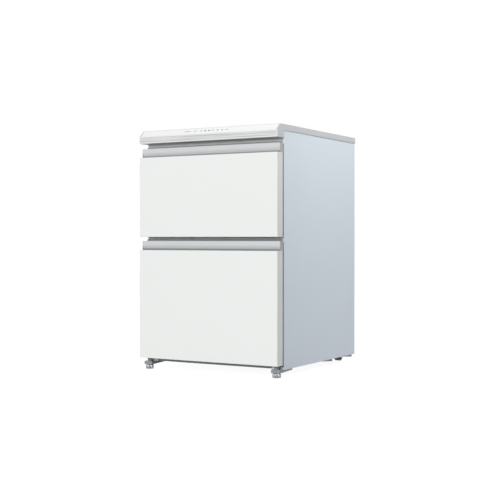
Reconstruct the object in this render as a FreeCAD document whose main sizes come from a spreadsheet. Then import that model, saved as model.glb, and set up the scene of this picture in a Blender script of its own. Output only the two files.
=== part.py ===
"""Two-drawer freezer on front levelling feet and rear rollers, as a parametric document.

Millimetres. X runs to the right, Y to the back and Z up.
The origin is on the floor, under the middle of the box.
"""
import FreeCAD, Part
import math
import os
import re
import Sketcher
from collections import namedtuple
from FreeCAD import Placement, Rotation, Vector

SIZES = {
    # Overall box
    "overall_width": 480,
    "overall_depth": 540,
    "overall_height": 730,
    # Steel cabinet
    "side_inset": 2,
    "rear_inset": 2,
    "cabinet_base": 22,
    "sheet": 1,
    "bend_radius": 1,
    "side_wall": 45,
    "top_wall": 52,
    "rear_wall": 52,
    "floor_wall": 50,
    "divider": 40,
    "liner_wall": 2,
    "liner_lip": 5,
    "liner_round": 8,
    "crossbar_depth": 18,
    "rib_width": 340,
    "rib_height": 14,
    "rib_depth": 1.5,
    "rib_pitch": 140,
    "rib_count": 3,
    # Machine compartment
    "machine_depth": 160,
    "machine_height": 182,
    "step_wall": 45,
    "tray_gauge": 2,
    "tray_lap": 20,
    "tab_drop": 7.5,
    "tab_toe": 0.8,
    "tab_length": 75,
    "front_tab_gap": 8,
    "rear_tab_gap": 20,
    "fit_gap": 0.3,
    "louvre_length": 150,
    "louvre_height": 6,
    "louvre_pitch": 14,
    "louvre_count": 8,
    "louvre_gap": 40,
    # Drawer fronts
    "front_thickness": 33,
    "seal_gap": 10,
    "lower_front_base": 36,
    "lower_front_height": 357,
    "front_gap": 12,
    "front_top_gap": 15,
    "skin": 1,
    "skin_round": 1.6,
    "grip_rise": 27.8,
    "grip_setback": 17,
    "grip_depth": 22,
    "grip_wall": 2,
    "grip_cove": 5,
    "grip_nose": 14,
    "grip_undercut": 8,
    "grip_nose_round": 24,
    "inner_wall": 2,
    "plug_depth": 12,
    "plug_margin": 6,
    "plug_round": 4,
    # Seals
    "gasket_side_inset": 2,
    "gasket_end_inset": 1.5,
    "gasket_width": 12,
    "gasket_base": 3,
    "gasket_neck": 6,
    "gasket_head": 3.5,
    "gasket_clearance": 0.3,
    # Runners
    "rail_setback": 5,
    "upper_rail_gap": 14,
    "lower_rail_gap": 38,
    "rail_height": 45,
    "rail_thickness": 13,
    "rail_gauge": 1.2,
    "rail_web_gap": 0.6,
    "rail_race": 3.4,
    "rail_lip_gap": 1,
    "glide_length": 34,
    "glide_clearance": 0.2,
    "arm_gauge": 1.5,
    "arm_fold": 10,
    "arm_tab": 30,
    "arm_rise": 32,
    # Bins
    "bin_headroom": 30,
    "bin_wall": 2,
    "bin_draft": 0.035,
    "bin_round": 18,
    "bin_floor_gap": 9,
    "bin_rear_gap": 20,
    "bin_arm_gap": 1,
    "rim_thickness": 3,
    "rim_end_reach": 6,
    # Control housing and top cover
    "cover_thickness": 18,
    "housing_drop": 40,
    "fascia_run": 20,
    "fascia_rise": 20,
    "cover_wall": 2.5,
    "cover_round": 2,
    "control_inset": 5,
    "control_margin": 1.5,
    "control_thickness": 1.2,
    "trim_inset": 3,
    "trim_top": 2,
    "trim_base": 4,
    "trim_thickness": 1,
    "board_length": 180,
    "board_width": 15,
    "board_thickness": 1.6,
    # Feet and rollers
    "foot_side_inset": 16,
    "foot_setback": 30,
    "foot_radius": 12.5,
    "foot_gap": 1.2,
    "collar_gap": 1,
    "stud_radius": 4,
    "running_clearance": 0.06,
    "bracket_half_width": 14.5,
    "bracket_reach": 10,
    "bracket_clearance": 4.2,
    "bracket_gauge": 2.2,
    "bracket_nose": 3,
    "bracket_drop": 8,
    "bracket_toe": 4.4,
    "bracket_length": 80,
    "nut_radius": 7.5,
    "roller_inset": 48,
    "roller_setback": 24,
    "roller_radius": 10,
    "roller_width": 18,
    "axle_radius": 2.5,
    "ear_gauge": 2,
    "ear_half_width": 12,
    "ear_tip": 6,
    "ear_gap": 1,
    # Air circuit behind the upper bin
    "evaporator_space": 64,
    "cover_panel": 2.5,
    "outlet_length": 60,
    "outlet_height": 7,
    "outlet_pitch": 14,
    "outlet_count": 5,
    "return_slots": 9,
    "return_width": 8,
    "return_height": 34,
    "return_pitch": 32,
    "fan_drop": 46,
    "fan_radius": 34,
    "fan_tip_gap": 2,
    "fan_hub_radius": 13,
    "fan_depth": 16,
    "fan_blades": 5,
    "blade_thickness": 1.6,
    "root_chord": 9,
    "tip_chord": 13,
    "blade_pitch": 24,
    "shroud_wall": 4,
    "shroud_depth": 18,
    "strut_height": 16,
    "strut_gauge": 3,
    "strut_standoff": 14,
    "motor_radius": 16,
    "motor_depth": 16,
    "shaft_radius": 2,
    # Cooling coil
    "coil_radius": 4,
    "cap_length": 40,
    "coil_column": 21,
    "coil_row": 30,
    "coil_setback": 12,
    "coil_rise": 38,
    "fin_gauge": 0.6,
    "fin_pitch": 20,
    "fin_count": 13,
    "fin_margin": 10,
    "heater_radius": 4,
    "heater_drop": 16,
    "trough_wall": 1.5,
    "trough_height": 12,
    "trough_end_gap": 4,
    # Machine parts
    "compressor_offset": 60,
    "compressor_radius": 58,
    "compressor_height": 120,
    "compressor_crown": 24,
    "compressor_lift": 14,
    "base_plate": 3,
    "base_half_length": 84,
    "base_half_width": 50,
    "mount_radius": 9,
    "mount_inset": 14,
    "terminal_half_width": 28,
    "terminal_depth": 14,
    "terminal_height": 52,
    "terminal_rise": 50,
    "drip_left": 22,
    "drip_right_gap": 14,
    "drip_depth": 130,
    "drip_rise": 92,
    "drip_height": 30,
    "drip_wall": 2,
    "drain_offset": 110,
    "drain_radius": 5,
    "drain_wall": 1.5,
    "drain_reach": 22,
    "gland_inset": 60,
    "gland_rise": 30,
    "gland_half": 8,
    "gland_flange": 11,
    "gland_bore": 4,
    "gland_depth": 5,
}

doc = FreeCAD.newDocument("DrawerFreezer")
sheet = doc.addObject("Spreadsheet::Sheet", "Sizes")
for row, (alias, size) in enumerate(SIZES.items(), 1):
    sheet.set(f"A{row}", str(size))
    sheet.setAlias(f"A{row}", alias)
doc.recompute()

# Places worked out from the driving sizes
HALF = "(overall_width / 2)"
FRONT = "(0 - overall_depth / 2)"
FRONT_BACK = f"({FRONT} + front_thickness)"
CASE_FRONT = f"({FRONT_BACK} + seal_gap)"
CASE_REAR = "(overall_depth / 2 - rear_inset)"
CASE_HALF = f"({HALF} - side_inset)"
CASE_TOP = "(overall_height - cover_thickness)"
SHEET_HALF = f"({CASE_HALF} - sheet)"
PANEL_FRONT = f"({CASE_REAR} - sheet)"
IN_HALF = f"({CASE_HALF} - side_wall)"
IN_REAR = f"({CASE_REAR} - rear_wall)"
HOUSING_BASE = "(overall_height - housing_drop)"
UPPER_TOP = f"({HOUSING_BASE} - front_top_gap)"
LOWER_TOP = "(lower_front_base + lower_front_height)"
UPPER_BASE = f"({LOWER_TOP} + front_gap)"
DIVIDER_MID = f"({LOWER_TOP} + front_gap / 2)"
UPPER_FLOOR = f"({DIVIDER_MID} + divider / 2)"
UPPER_CEILING = f"({CASE_TOP} - top_wall)"
LOWER_FLOOR = "(cabinet_base + floor_wall)"
LOWER_CEILING = f"({DIVIDER_MID} - divider / 2)"
TRAY_TOP = "(cabinet_base + tray_gauge)"
MACHINE_FRONT = f"({CASE_REAR} - machine_depth)"
MACHINE_TOP = "(cabinet_base + machine_height)"
STEP_REAR = f"({MACHINE_FRONT} - step_wall)"
STEP_TOP = f"({MACHINE_TOP} + step_wall)"
FRAME_HALF = f"({IN_HALF} + liner_wall + liner_lip)"
PLUG_BACK = f"({FRONT_BACK} + plug_depth)"
EVAPORATOR_FRONT = f"({IN_REAR} - evaporator_space)"
RAIL_FRONT = f"({CASE_FRONT} + rail_setback)"
UPPER_RAIL_LENGTH = f"({EVAPORATOR_FRONT} - upper_rail_gap - {RAIL_FRONT})"
LOWER_RAIL_LENGTH = f"({IN_REAR} - lower_rail_gap - {RAIL_FRONT})"
ARM_OUTER = f"({IN_HALF} - rail_thickness)"
ARM_INNER = f"({ARM_OUTER} - arm_gauge)"
OUTER_HALF = "(rail_height / 2)"
OUTER_RACE = f"({OUTER_HALF} - rail_gauge)"
MIDDLE_HALF = f"({OUTER_RACE} - rail_race)"
MIDDLE_RACE = f"({MIDDLE_HALF} - rail_gauge)"
INNER_HALF = f"({MIDDLE_RACE} - rail_race)"
OUTER_WEB = f"({IN_HALF} - rail_gauge)"
MIDDLE_WEB = f"({OUTER_WEB} - rail_web_gap)"
MIDDLE_WEB_IN = f"({MIDDLE_WEB} - rail_gauge)"
OUTER_LIP = f"({ARM_OUTER} + rail_gauge + 2 * rail_lip_gap)"
MIDDLE_LIP = f"({ARM_OUTER} + rail_gauge + rail_lip_gap)"
INNER_LIP = f"({MIDDLE_WEB_IN} - rail_web_gap)"
BIN_FRONT = f"({PLUG_BACK} + arm_gauge + bin_arm_gap)"
BIN_HALF = f"({ARM_OUTER} - arm_fold - bin_arm_gap)"
CONTROL_WIDTH = f"(2 * ({HALF} - control_inset))"
TRIM_WIDTH = f"(2 * ({HALF} - trim_inset))"
HOUSING_BACK = f"({CASE_FRONT} - fit_gap)"
FASCIA_BASE = "(overall_height - fascia_rise)"
FASCIA_BACK = f"({FRONT} + fascia_run)"
FASCIA_SLOPE = "sqrt(fascia_run ^ 2 + fascia_rise ^ 2)"
FASCIA_INNER_BASE = f"({FASCIA_BASE} + cover_wall * (fascia_rise - {FASCIA_SLOPE}) / fascia_run)"
FASCIA_INNER_BACK = f"({FASCIA_BACK} + cover_wall * ({FASCIA_SLOPE} - fascia_run) / fascia_rise)"
FOOT_X = f"({CASE_HALF} - foot_side_inset)"
FOOT_Y = f"({FRONT} + foot_setback)"
BRACKET_FRONT = f"({FOOT_Y} - bracket_reach)"
BRACKET_BASE = "(cabinet_base - bracket_drop)"
BRACKET_SEAT = f"({TRAY_TOP} - bracket_gauge)"
BRACKET_TOP = "(lower_front_base - bracket_clearance)"
COLLAR_TOP = f"({BRACKET_SEAT} - fit_gap)"
COLLAR_BASE = f"({BRACKET_BASE} - foot_gap)"
COLLAR_RADIUS = "(bracket_reach - bracket_gauge - collar_gap)"
ROLLER_X = f"({CASE_HALF} - roller_inset)"
ROLLER_Y = f"({CASE_REAR} - roller_setback)"
AXLE_END = "(axle_radius / sqrt(2))"
FAN_Z = f"({UPPER_CEILING} - fan_drop)"
SHROUD_FRONT = f"({EVAPORATOR_FRONT} + cover_panel)"
SHROUD_HALF = "(fan_radius + fan_tip_gap + shroud_wall)"
STRUT_FRONT = f"({SHROUD_FRONT} + shroud_depth + strut_standoff)"
STRUT_BACK = f"({STRUT_FRONT} + strut_gauge)"
ROTOR_FRONT = f"({SHROUD_FRONT} + shroud_depth + fit_gap - fan_depth)"
COIL_FRONT = f"({SHROUD_FRONT} + coil_setback)"
COIL_BACK = f"({COIL_FRONT} + coil_column)"
COIL_BASE = f"({UPPER_FLOOR} + coil_rise)"
COIL_TOP = f"({COIL_BASE} + coil_row)"
COIL_MID = f"(({COIL_FRONT} + {COIL_BACK}) / 2)"
CAP_END = f"({IN_HALF} - fit_gap - cover_panel)"
COIL_HALF = f"({CAP_END} - cap_length)"
HEATER_Z = f"({COIL_BASE} - heater_drop)"
LINER_BACK = f"({IN_REAR} + liner_wall)"
COMPRESSOR_X = "(0 - compressor_offset)"
COMPRESSOR_Y = f"(({MACHINE_FRONT} + {PANEL_FRONT}) / 2)"
PLATE_BASE = f"({TRAY_TOP} + compressor_lift)"
SHELL_BASE = f"({PLATE_BASE} + base_plate)"
DRIP_BASE = f"({TRAY_TOP} + drip_rise)"
DRAIN_Y = f"({LINER_BACK} + drain_reach)"
DRAIN_Z = f"({UPPER_FLOOR} + cover_panel + 2 * fit_gap + drain_radius)"
GLAND_X = f"({SHEET_HALF} - gland_inset)"
GLAND_Z = f"({TRAY_TOP} + gland_rise)"

Drawer = namedtuple("Drawer", "name base top floor ceiling rail_length")
DRAWERS = (
    Drawer("upper", UPPER_BASE, UPPER_TOP, UPPER_FLOOR, UPPER_CEILING, UPPER_RAIL_LENGTH),
    Drawer("lower", "lower_front_base", LOWER_TOP, LOWER_FLOOR, LOWER_CEILING, LOWER_RAIL_LENGTH),
)
UPPER, LOWER = DRAWERS
SIDES = {"left": -1, "right": 1}
TOLERANCE = 1e-6
AXES = {
    "x": Rotation(Vector(0, 1, 0), 90),
    "y": Rotation(Vector(1, 0, 0), -90),
    "z": Rotation(),
}
NODES = []


# Building blocks
def bound(formula):
    """The formula with each size name read from the sheet."""
    return re.sub("[a-z_]+", lambda word: f"Sizes.{word[0]}" if word[0] in SIZES else word[0], formula)


def value(formula):
    """What a formula of sizes comes to."""
    return sheet.evalExpression(bound(formula))


def limited(radius, wall):
    """A round that stays whole outside a square inner corner, one wall thickness in."""
    return f"min({radius}, 2 * {wall})"


def node(name, piece):
    """Keep a finished piece under the name of its file."""
    piece.Label = name
    NODES.append(piece)
    return piece


def place(piece, x="0", y="0", z="0", rotation=None):
    """Bind a piece's position, after turning it."""
    if rotation:
        piece.Placement = Placement(Vector(), rotation)
    for axis, formula in zip("xyz", (x, y, z)):
        piece.setExpression(f".Placement.Base.{axis}", bound(formula))
    return piece


def box(x, y, z):
    """A box between pairs of low and high formulas."""
    piece = doc.addObject("Part::Box", "Block")
    for side, (low, high) in zip(("Length", "Width", "Height"), (x, y, z)):
        piece.setExpression(side, bound(f"{high} - {low}"))
    return place(piece, x[0], y[0], z[0])


def across(half):
    """A pair of formulas either side of the middle plane."""
    return f"(0 - {half})", half


def about(centre, half):
    """A pair of formulas either side of a centre."""
    return f"({centre} - {half})", f"({centre} + {half})"


def rod(start, radius, length, axis):
    """A cylinder from a start point along a positive axis."""
    piece = doc.addObject("Part::Cylinder", "Rod")
    piece.setExpression("Radius", bound(radius))
    piece.setExpression("Height", bound(length))
    return place(piece, *start, AXES[axis])


def fuse(*pieces):
    """Pieces joined to one solid."""
    joined = doc.addObject("Part::MultiFuse", "Joined")
    joined.Shapes = list(pieces)
    joined.Refine = True
    return joined


def cut(base, *tools):
    """A base less its tools."""
    remainder = doc.addObject("Part::Cut", "Remainder")
    remainder.Base = base
    remainder.Tool = tools[0] if len(tools) == 1 else fuse(*tools)
    remainder.Refine = True
    return remainder


def both(piece):
    """A right-hand piece with its left-hand mirror image."""
    mirror = doc.addObject("Part::Mirroring", "Mirror")
    mirror.Source = piece
    mirror.Normal = Vector(1, 0, 0)
    pair = doc.addObject("Part::Compound", "Pair")
    pair.Links = [piece, mirror]
    return pair


def new_body(name):
    return doc.addObject("PartDesign::Body", name)


def origin_part(body, role):
    return next(part for part in body.Origin.OriginFeatures if part.Role == role)


def outline(body, role, level, *loops):
    """A sketch of closed loops of straight lines, each corner bound to the sheet.

    The level lies along the plane's normal, which points to +Z, -Y or +X.
    """
    sketch = body.newObject("Sketcher::SketchObject", "Outline")
    sketch.AttachmentSupport = [(origin_part(body, role), "")]
    sketch.MapMode = "FlatFace"
    sketch.setExpression(".AttachmentOffset.Base.z", bound(level))
    for corners in loops:
        add_loop(sketch, corners)
    return sketch


def add_loop(sketch, corners):
    """One loop, started as a regular ring and drawn out to its corners by the constraints."""
    count = len(corners)
    first = sketch.GeometryCount
    turn = 2 * math.pi / count
    ring = [Vector(2 + math.cos(i * turn), 2 + math.sin(i * turn), 0) for i in range(count)]
    for i in range(count):
        sketch.addGeometry(Part.LineSegment(ring[i], ring[(i + 1) % count]))
    for i in range(count):
        sketch.addConstraint(Sketcher.Constraint("Coincident", first + i, 2, first + (i + 1) % count, 1))
    for i, corner in enumerate(corners):
        for kind, start, formula in zip(("DistanceX", "DistanceY"), ring[i], corner):
            index = sketch.addConstraint(Sketcher.Constraint(kind, -1, 1, first + i, 1, start))
            sketch.setExpression(f"Constraints[{index}]", bound(formula))


def rectangle(x, y):
    return [(x[0], y[0]), (x[1], y[0]), (x[1], y[1]), (x[0], y[1])]


def polygon(radius, count):
    """Corners of a regular polygon, the first of them on the first axis."""
    turns = [2 * math.pi * i / count for i in range(count)]
    return [(f"{math.cos(turn):.9f} * {radius}", f"{math.sin(turn):.9f} * {radius}") for turn in turns]


def pad(body, sketch, length, reverse=False, middle=False):
    feature = body.newObject("PartDesign::Pad", "Pad")
    feature.Profile = sketch
    feature.Reversed = reverse
    feature.Midplane = middle
    feature.setExpression("Length", bound(length))
    return feature


def pocket(body, sketch, length, reverse=False, middle=False):
    feature = body.newObject("PartDesign::Pocket", "Pocket")
    feature.Profile = sketch
    feature.Reversed = reverse
    feature.Midplane = middle
    feature.setExpression("Length", bound(length))
    return feature


def revolve(body, sketch):
    feature = body.newObject("PartDesign::Revolution", "Revolution")
    feature.Profile = sketch
    feature.ReferenceAxis = (sketch, ["V_Axis"])
    feature.Angle = 360
    return feature


def row_of(body, feature, role, pitch, count):
    """Copies of a feature along an origin axis."""
    pattern = body.newObject("PartDesign::LinearPattern", "Row")
    pattern.Originals = [feature]
    pattern.Direction = (origin_part(body, role), [""])
    pattern.setExpression("Length", bound(f"{pitch} * ({count} - 1)"))
    pattern.setExpression("Occurrences", bound(count))
    body.Tip = pattern
    return pattern


def ring_of(body, feature, count):
    """Copies of a feature about the upright axis."""
    pattern = body.newObject("PartDesign::PolarPattern", "Ring")
    pattern.Originals = [feature]
    pattern.Axis = (origin_part(body, "Z_Axis"), [""])
    pattern.Angle = 360
    pattern.setExpression("Occurrences", bound(count))
    body.Tip = pattern
    return pattern


def fillet(body, feature, radius, chosen):
    """Round the edges of a feature that the test chooses."""
    doc.recompute()
    names = [f"Edge{i}" for i, edge in enumerate(feature.Shape.Edges, 1) if chosen(edge)]
    rounding = body.newObject("PartDesign::Fillet", "Fillet")
    rounding.Base = (feature, names)
    rounding.setExpression("Radius", bound(radius))
    return rounding


def runs_along(edge, axis):
    """True for a straight edge parallel to a coordinate axis."""
    if edge.Curve.TypeId != "Part::GeomLine":
        return False
    return abs(abs(getattr(edge.Curve.Direction, axis)) - 1) < TOLERANCE


def middle_of(edge):
    return edge.BoundBox.Center


def edge_at(corner):
    """A test for the edge that runs along X through a corner of a profile."""
    y, z = (value(formula) for formula in corner)

    def chosen(edge):
        middle = middle_of(edge)
        return runs_along(edge, "x") and math.hypot(middle.y - y, middle.z - z) < TOLERANCE

    return chosen


# Cabinet
def make_outer_shell():
    """Folded sheet: two sides, a top and a flange round the front."""
    body = new_body("OuterShell")
    depth = f"{CASE_REAR} - {CASE_FRONT}"
    face = rectangle(across(CASE_HALF), ("cabinet_base", CASE_TOP))
    block = pad(body, outline(body, "XZ_Plane", f"0 - {CASE_FRONT}", face), depth, reverse=True)
    fillet(body, block, "sheet + bend_radius", lambda e: runs_along(e, "z") and middle_of(e).y < 0)
    inside = rectangle(across(SHEET_HALF), ("cabinet_base", f"{CASE_TOP} - sheet"))
    pocket(body, outline(body, "XZ_Plane", f"0 - {CASE_FRONT} - sheet", inside), depth)
    mouth = rectangle(across(FRAME_HALF), ("cabinet_base", f"{UPPER_CEILING} + liner_wall + liner_lip"))
    pocket(body, outline(body, "XZ_Plane", f"0 - {CASE_FRONT}", mouth), "2 * sheet")
    heel = rectangle(across(SHEET_HALF), ("cabinet_base", TRAY_TOP))
    pocket(body, outline(body, "XZ_Plane", f"0 - {CASE_FRONT}", heel), "2 * sheet")
    node("outer_shell", body)


def make_rear_panel():
    """Sheet behind the insulation, stiffened by pressed ribs."""
    body = new_body("RearPanel")
    face = rectangle(across(SHEET_HALF), (MACHINE_TOP, f"{CASE_TOP} - sheet"))
    pad(body, outline(body, "XZ_Plane", f"0 - {PANEL_FRONT}", face), "sheet", reverse=True)
    middle = f"(({MACHINE_TOP} + {CASE_TOP}) / 2)"
    first = f"({middle} - rib_pitch * (rib_count - 1) / 2)"
    rib = rectangle(across("(rib_width / 2)"), about(first, "rib_height / 2"))
    raised = pad(body, outline(body, "XZ_Plane", f"0 - {CASE_REAR}", rib), "rib_depth", reverse=True)
    row_of(body, raised, "Z_Axis", "rib_pitch", "rib_count")
    node("rear_panel", body)


def make_machine_cover():
    """Vented cover over the machine compartment, with a hole for the mains gland."""
    body = new_body("MachineCover")
    low = f"({TRAY_TOP} + fit_gap)"
    high = f"({MACHINE_TOP} - fit_gap)"
    face = rectangle(across(f"({SHEET_HALF} - fit_gap)"), (low, high))
    pad(body, outline(body, "XZ_Plane", f"0 - {PANEL_FRONT}", face), "sheet", reverse=True)
    first = f"(({low} + {high}) / 2 - louvre_pitch * (louvre_count - 1) / 2)"
    heights = about(first, "louvre_height / 2")
    inner, outer = "(louvre_gap / 2)", "(louvre_gap / 2 + louvre_length)"
    slots = [rectangle((inner, outer), heights), rectangle((f"0 - {outer}", f"0 - {inner}"), heights)]
    sketch = outline(body, "XZ_Plane", f"0 - {PANEL_FRONT}", *slots)
    row_of(body, pocket(body, sketch, "sheet"), "Z_Axis", "louvre_pitch", "louvre_count")
    gland_hole = box(about(GLAND_X, "gland_half"), (PANEL_FRONT, CASE_REAR), about(GLAND_Z, "gland_half"))
    node("machine_cover", cut(body, gland_hole))


def make_mains_gland():
    """Square bushing for the mains lead, pushed through the cover."""
    start = f"({PANEL_FRONT} - gland_depth)"
    end = f"({CASE_REAR} + sheet)"
    neck = box(about(GLAND_X, "gland_half"), (start, CASE_REAR), about(GLAND_Z, "gland_half"))
    flange = box(about(GLAND_X, "gland_flange"), (CASE_REAR, end), about(GLAND_Z, "gland_flange"))
    bore = rod((GLAND_X, start, GLAND_Z), "gland_bore", f"{end} - {start}", "y")
    node("mains_gland", cut(fuse(neck, flange), bore))


def make_base_panel():
    """Pressed floor between the skirts of the sides, which rises behind over the machine compartment."""
    body = new_body("BasePanel")
    lip_top = f"({LOWER_FLOOR} - liner_wall - liner_lip)"
    profile = [
        (f"{CASE_FRONT} + sheet", lip_top),
        (f"{CASE_FRONT} + sheet", TRAY_TOP),
        (MACHINE_FRONT, TRAY_TOP),
        (MACHINE_FRONT, MACHINE_TOP),
        (PANEL_FRONT, MACHINE_TOP),
        (PANEL_FRONT, f"{MACHINE_TOP} + sheet"),
        (f"{MACHINE_FRONT} - sheet", f"{MACHINE_TOP} + sheet"),
        (f"{MACHINE_FRONT} - sheet", f"{TRAY_TOP} + sheet"),
        (f"{CASE_FRONT} + 2 * sheet", f"{TRAY_TOP} + sheet"),
        (f"{CASE_FRONT} + 2 * sheet", lip_top),
    ]
    pad(body, outline(body, "YZ_Plane", "0", profile), f"2 * {SHEET_HALF}", middle=True)
    opened = cut(body, drain_chase())
    node("base_panel", fuse(opened, side_tabs(f"({MACHINE_FRONT} - front_tab_gap)")))


def side_tabs(end):
    """Flanges folded down along both lower edges, deeper towards the back."""
    tab = new_body("Tab")
    start = f"({end} - tab_length)"
    profile = [
        (start, TRAY_TOP),
        (start, "cabinet_base - tab_toe"),
        (end, "cabinet_base - tab_drop"),
        (end, TRAY_TOP),
    ]
    pad(tab, outline(tab, "YZ_Plane", f"{SHEET_HALF} - tray_gauge", profile), "tray_gauge")
    return both(tab)


def drain_chase():
    """Upright duct in the rear foam for the drain tube."""
    width = "(drain_radius + fit_gap)"
    depth = (LINER_BACK, f"({DRAIN_Y} + {width})")
    return box(about("drain_offset", width), depth, (MACHINE_TOP, f"({DRAIN_Z} + {width})"))


def make_base_tray():
    """Steel tray lapped under the floor, with the compressor on it and the rear rollers in folded ears."""
    level = ("cabinet_base", TRAY_TOP)
    plate = box(across(SHEET_HALF), (MACHINE_FRONT, CASE_REAR), level)
    lap = box(
        across(f"({SHEET_HALF} - tray_gauge - fit_gap)"),
        (f"({MACHINE_FRONT} - tray_lap)", MACHINE_FRONT),
        level,
    )
    ears = []
    offset = "(roller_width / 2 + ear_gap + ear_gauge / 2)"
    for side in SIDES.values():
        for face in "-+":
            ears.append(ear(f"({side} * {ROLLER_X} {face} {offset})"))
    node("base_tray", fuse(plate, lap, *ears, side_tabs(f"({CASE_REAR} - rear_tab_gap)")))


def ear(centre):
    """One tapered roller ear with a square hole for the axle's end."""
    body = new_body("Ear")
    profile = [
        (f"{ROLLER_Y} - ear_half_width", "cabinet_base"),
        (f"{ROLLER_Y} - ear_tip", "roller_radius - ear_tip"),
        (f"{ROLLER_Y} + ear_tip", "roller_radius - ear_tip"),
        (f"{ROLLER_Y} + ear_half_width", "cabinet_base"),
    ]
    pad(body, outline(body, "YZ_Plane", centre, profile), "ear_gauge", middle=True)
    hole = box(about(centre, "ear_gauge"), about(ROLLER_Y, AXLE_END), about("roller_radius", AXLE_END))
    return cut(body, hole)


def make_rollers():
    """Rear rollers, each turning on an axle whose square ends keep it still in the ears."""
    reach = "(roller_width / 2 + ear_gap)"
    axle = rod((f"{ROLLER_X} - {reach}", ROLLER_Y, "roller_radius"), "axle_radius", f"2 * {reach}", "x")
    across_ears = about(ROLLER_X, f"({reach} + ear_gauge)")
    ends = box(across_ears, about(ROLLER_Y, AXLE_END), about("roller_radius", AXLE_END))
    node("roller_axles", both(fuse(axle, ends)))
    for name, side in SIDES.items():
        body = new_body("Roller")
        bore = "(axle_radius + running_clearance)"
        profile = rectangle((bore, "roller_radius"), across("(roller_width / 2)"))
        revolve(body, outline(body, "XZ_Plane", "0", profile))
        node(f"{name}_roller", place(body, f"{side} * {ROLLER_X}", ROLLER_Y, "roller_radius", AXES["x"]))


def make_liner(drawer, step):
    """Moulded liner of one compartment, with a lip at its mouth and, below, a step over the machinery."""
    body = new_body("Liner")
    lip = "(liner_wall + liner_lip)"
    flange = rectangle(across(FRAME_HALF), (f"{drawer.floor} - {lip}", f"{drawer.ceiling} + {lip}"))
    pad(body, outline(body, "XZ_Plane", f"0 - {CASE_FRONT}", flange), "liner_wall", reverse=True)
    low, high = f"({drawer.floor} - liner_wall)", f"({drawer.ceiling} + liner_wall)"
    if step:
        back = f"({STEP_REAR} + liner_wall)"
        corners = [(CASE_FRONT, low), (back, low), (back, f"{STEP_TOP} - liner_wall")]
        corners += [(LINER_BACK, f"{STEP_TOP} - liner_wall"), (LINER_BACK, high), (CASE_FRONT, high)]
        hollow = [(CASE_FRONT, drawer.floor), (STEP_REAR, drawer.floor), (STEP_REAR, STEP_TOP)]
        hollow += [(IN_REAR, STEP_TOP), (IN_REAR, drawer.ceiling), (CASE_FRONT, drawer.ceiling)]
    else:
        corners = rectangle((CASE_FRONT, LINER_BACK), (low, high))
        hollow = rectangle((CASE_FRONT, IN_REAR), (drawer.floor, drawer.ceiling))
    pad(body, outline(body, "YZ_Plane", "0", corners), f"2 * ({IN_HALF} + liner_wall)", middle=True)
    inside = pocket(body, outline(body, "YZ_Plane", "0", hollow), f"2 * {IN_HALF}", middle=True)
    half = value(IN_HALF)

    def inside_corner(edge):
        return runs_along(edge, "y") and abs(abs(middle_of(edge).x) - half) < TOLERANCE

    fillet(body, inside, "liner_round", inside_corner)
    return body


def make_liners():
    drain_hole = rod(("drain_offset", IN_REAR, DRAIN_Z), "drain_radius + fit_gap", "liner_wall", "y")
    node("upper_liner", cut(make_liner(UPPER, step=False), drain_hole))
    node("lower_liner", make_liner(LOWER, step=True))


def make_front_crossbar():
    """Steel channel across the front between the two compartments."""
    body = new_body("Crossbar")
    low = f"({LOWER_CEILING} + liner_wall + liner_lip)"
    high = f"({UPPER_FLOOR} - liner_wall - liner_lip)"
    back = f"({CASE_FRONT} + crossbar_depth)"
    profile = [
        (CASE_FRONT, low),
        (back, low),
        (back, f"{low} + sheet"),
        (f"{CASE_FRONT} + sheet", f"{low} + sheet"),
        (f"{CASE_FRONT} + sheet", f"{high} - sheet"),
        (back, f"{high} - sheet"),
        (back, high),
        (CASE_FRONT, high),
    ]
    pad(body, outline(body, "YZ_Plane", "0", profile), f"2 * {FRAME_HALF}", middle=True)
    node("front_crossbar", body)


def make_insulation():
    """Foam that fills the walls round both liners."""
    front = f"({CASE_FRONT} + max(2 * sheet, liner_wall))"
    height = (f"({TRAY_TOP} + sheet)", f"({CASE_TOP} - sheet)")
    block = box(across(SHEET_HALF), (front, PANEL_FRONT), height)
    liner_half = f"({IN_HALF} + liner_wall)"
    depth = (CASE_FRONT, LINER_BACK)
    upper_height = (f"({UPPER_FLOOR} - liner_wall)", f"({UPPER_CEILING} + liner_wall)")
    upper = box(across(liner_half), depth, upper_height)
    lower_top = f"({LOWER_CEILING} + liner_wall)"
    lower_front = box(
        across(liner_half),
        (CASE_FRONT, f"({STEP_REAR} + liner_wall)"),
        (f"({LOWER_FLOOR} - liner_wall)", lower_top),
    )
    lower_rear = box(across(liner_half), depth, (f"({STEP_TOP} - liner_wall)", lower_top))
    machine = box(
        across(SHEET_HALF),
        (f"({MACHINE_FRONT} - sheet)", PANEL_FRONT),
        ("cabinet_base", f"({MACHINE_TOP} + sheet)"),
    )
    crossbar = box(
        across(FRAME_HALF),
        (CASE_FRONT, f"({CASE_FRONT} + crossbar_depth)"),
        (f"({LOWER_CEILING} + liner_wall + liner_lip)", f"({UPPER_FLOOR} - liner_wall - liner_lip)"),
    )
    node("insulation", cut(block, upper, lower_front, lower_rear, machine, crossbar, drain_chase()))


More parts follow.
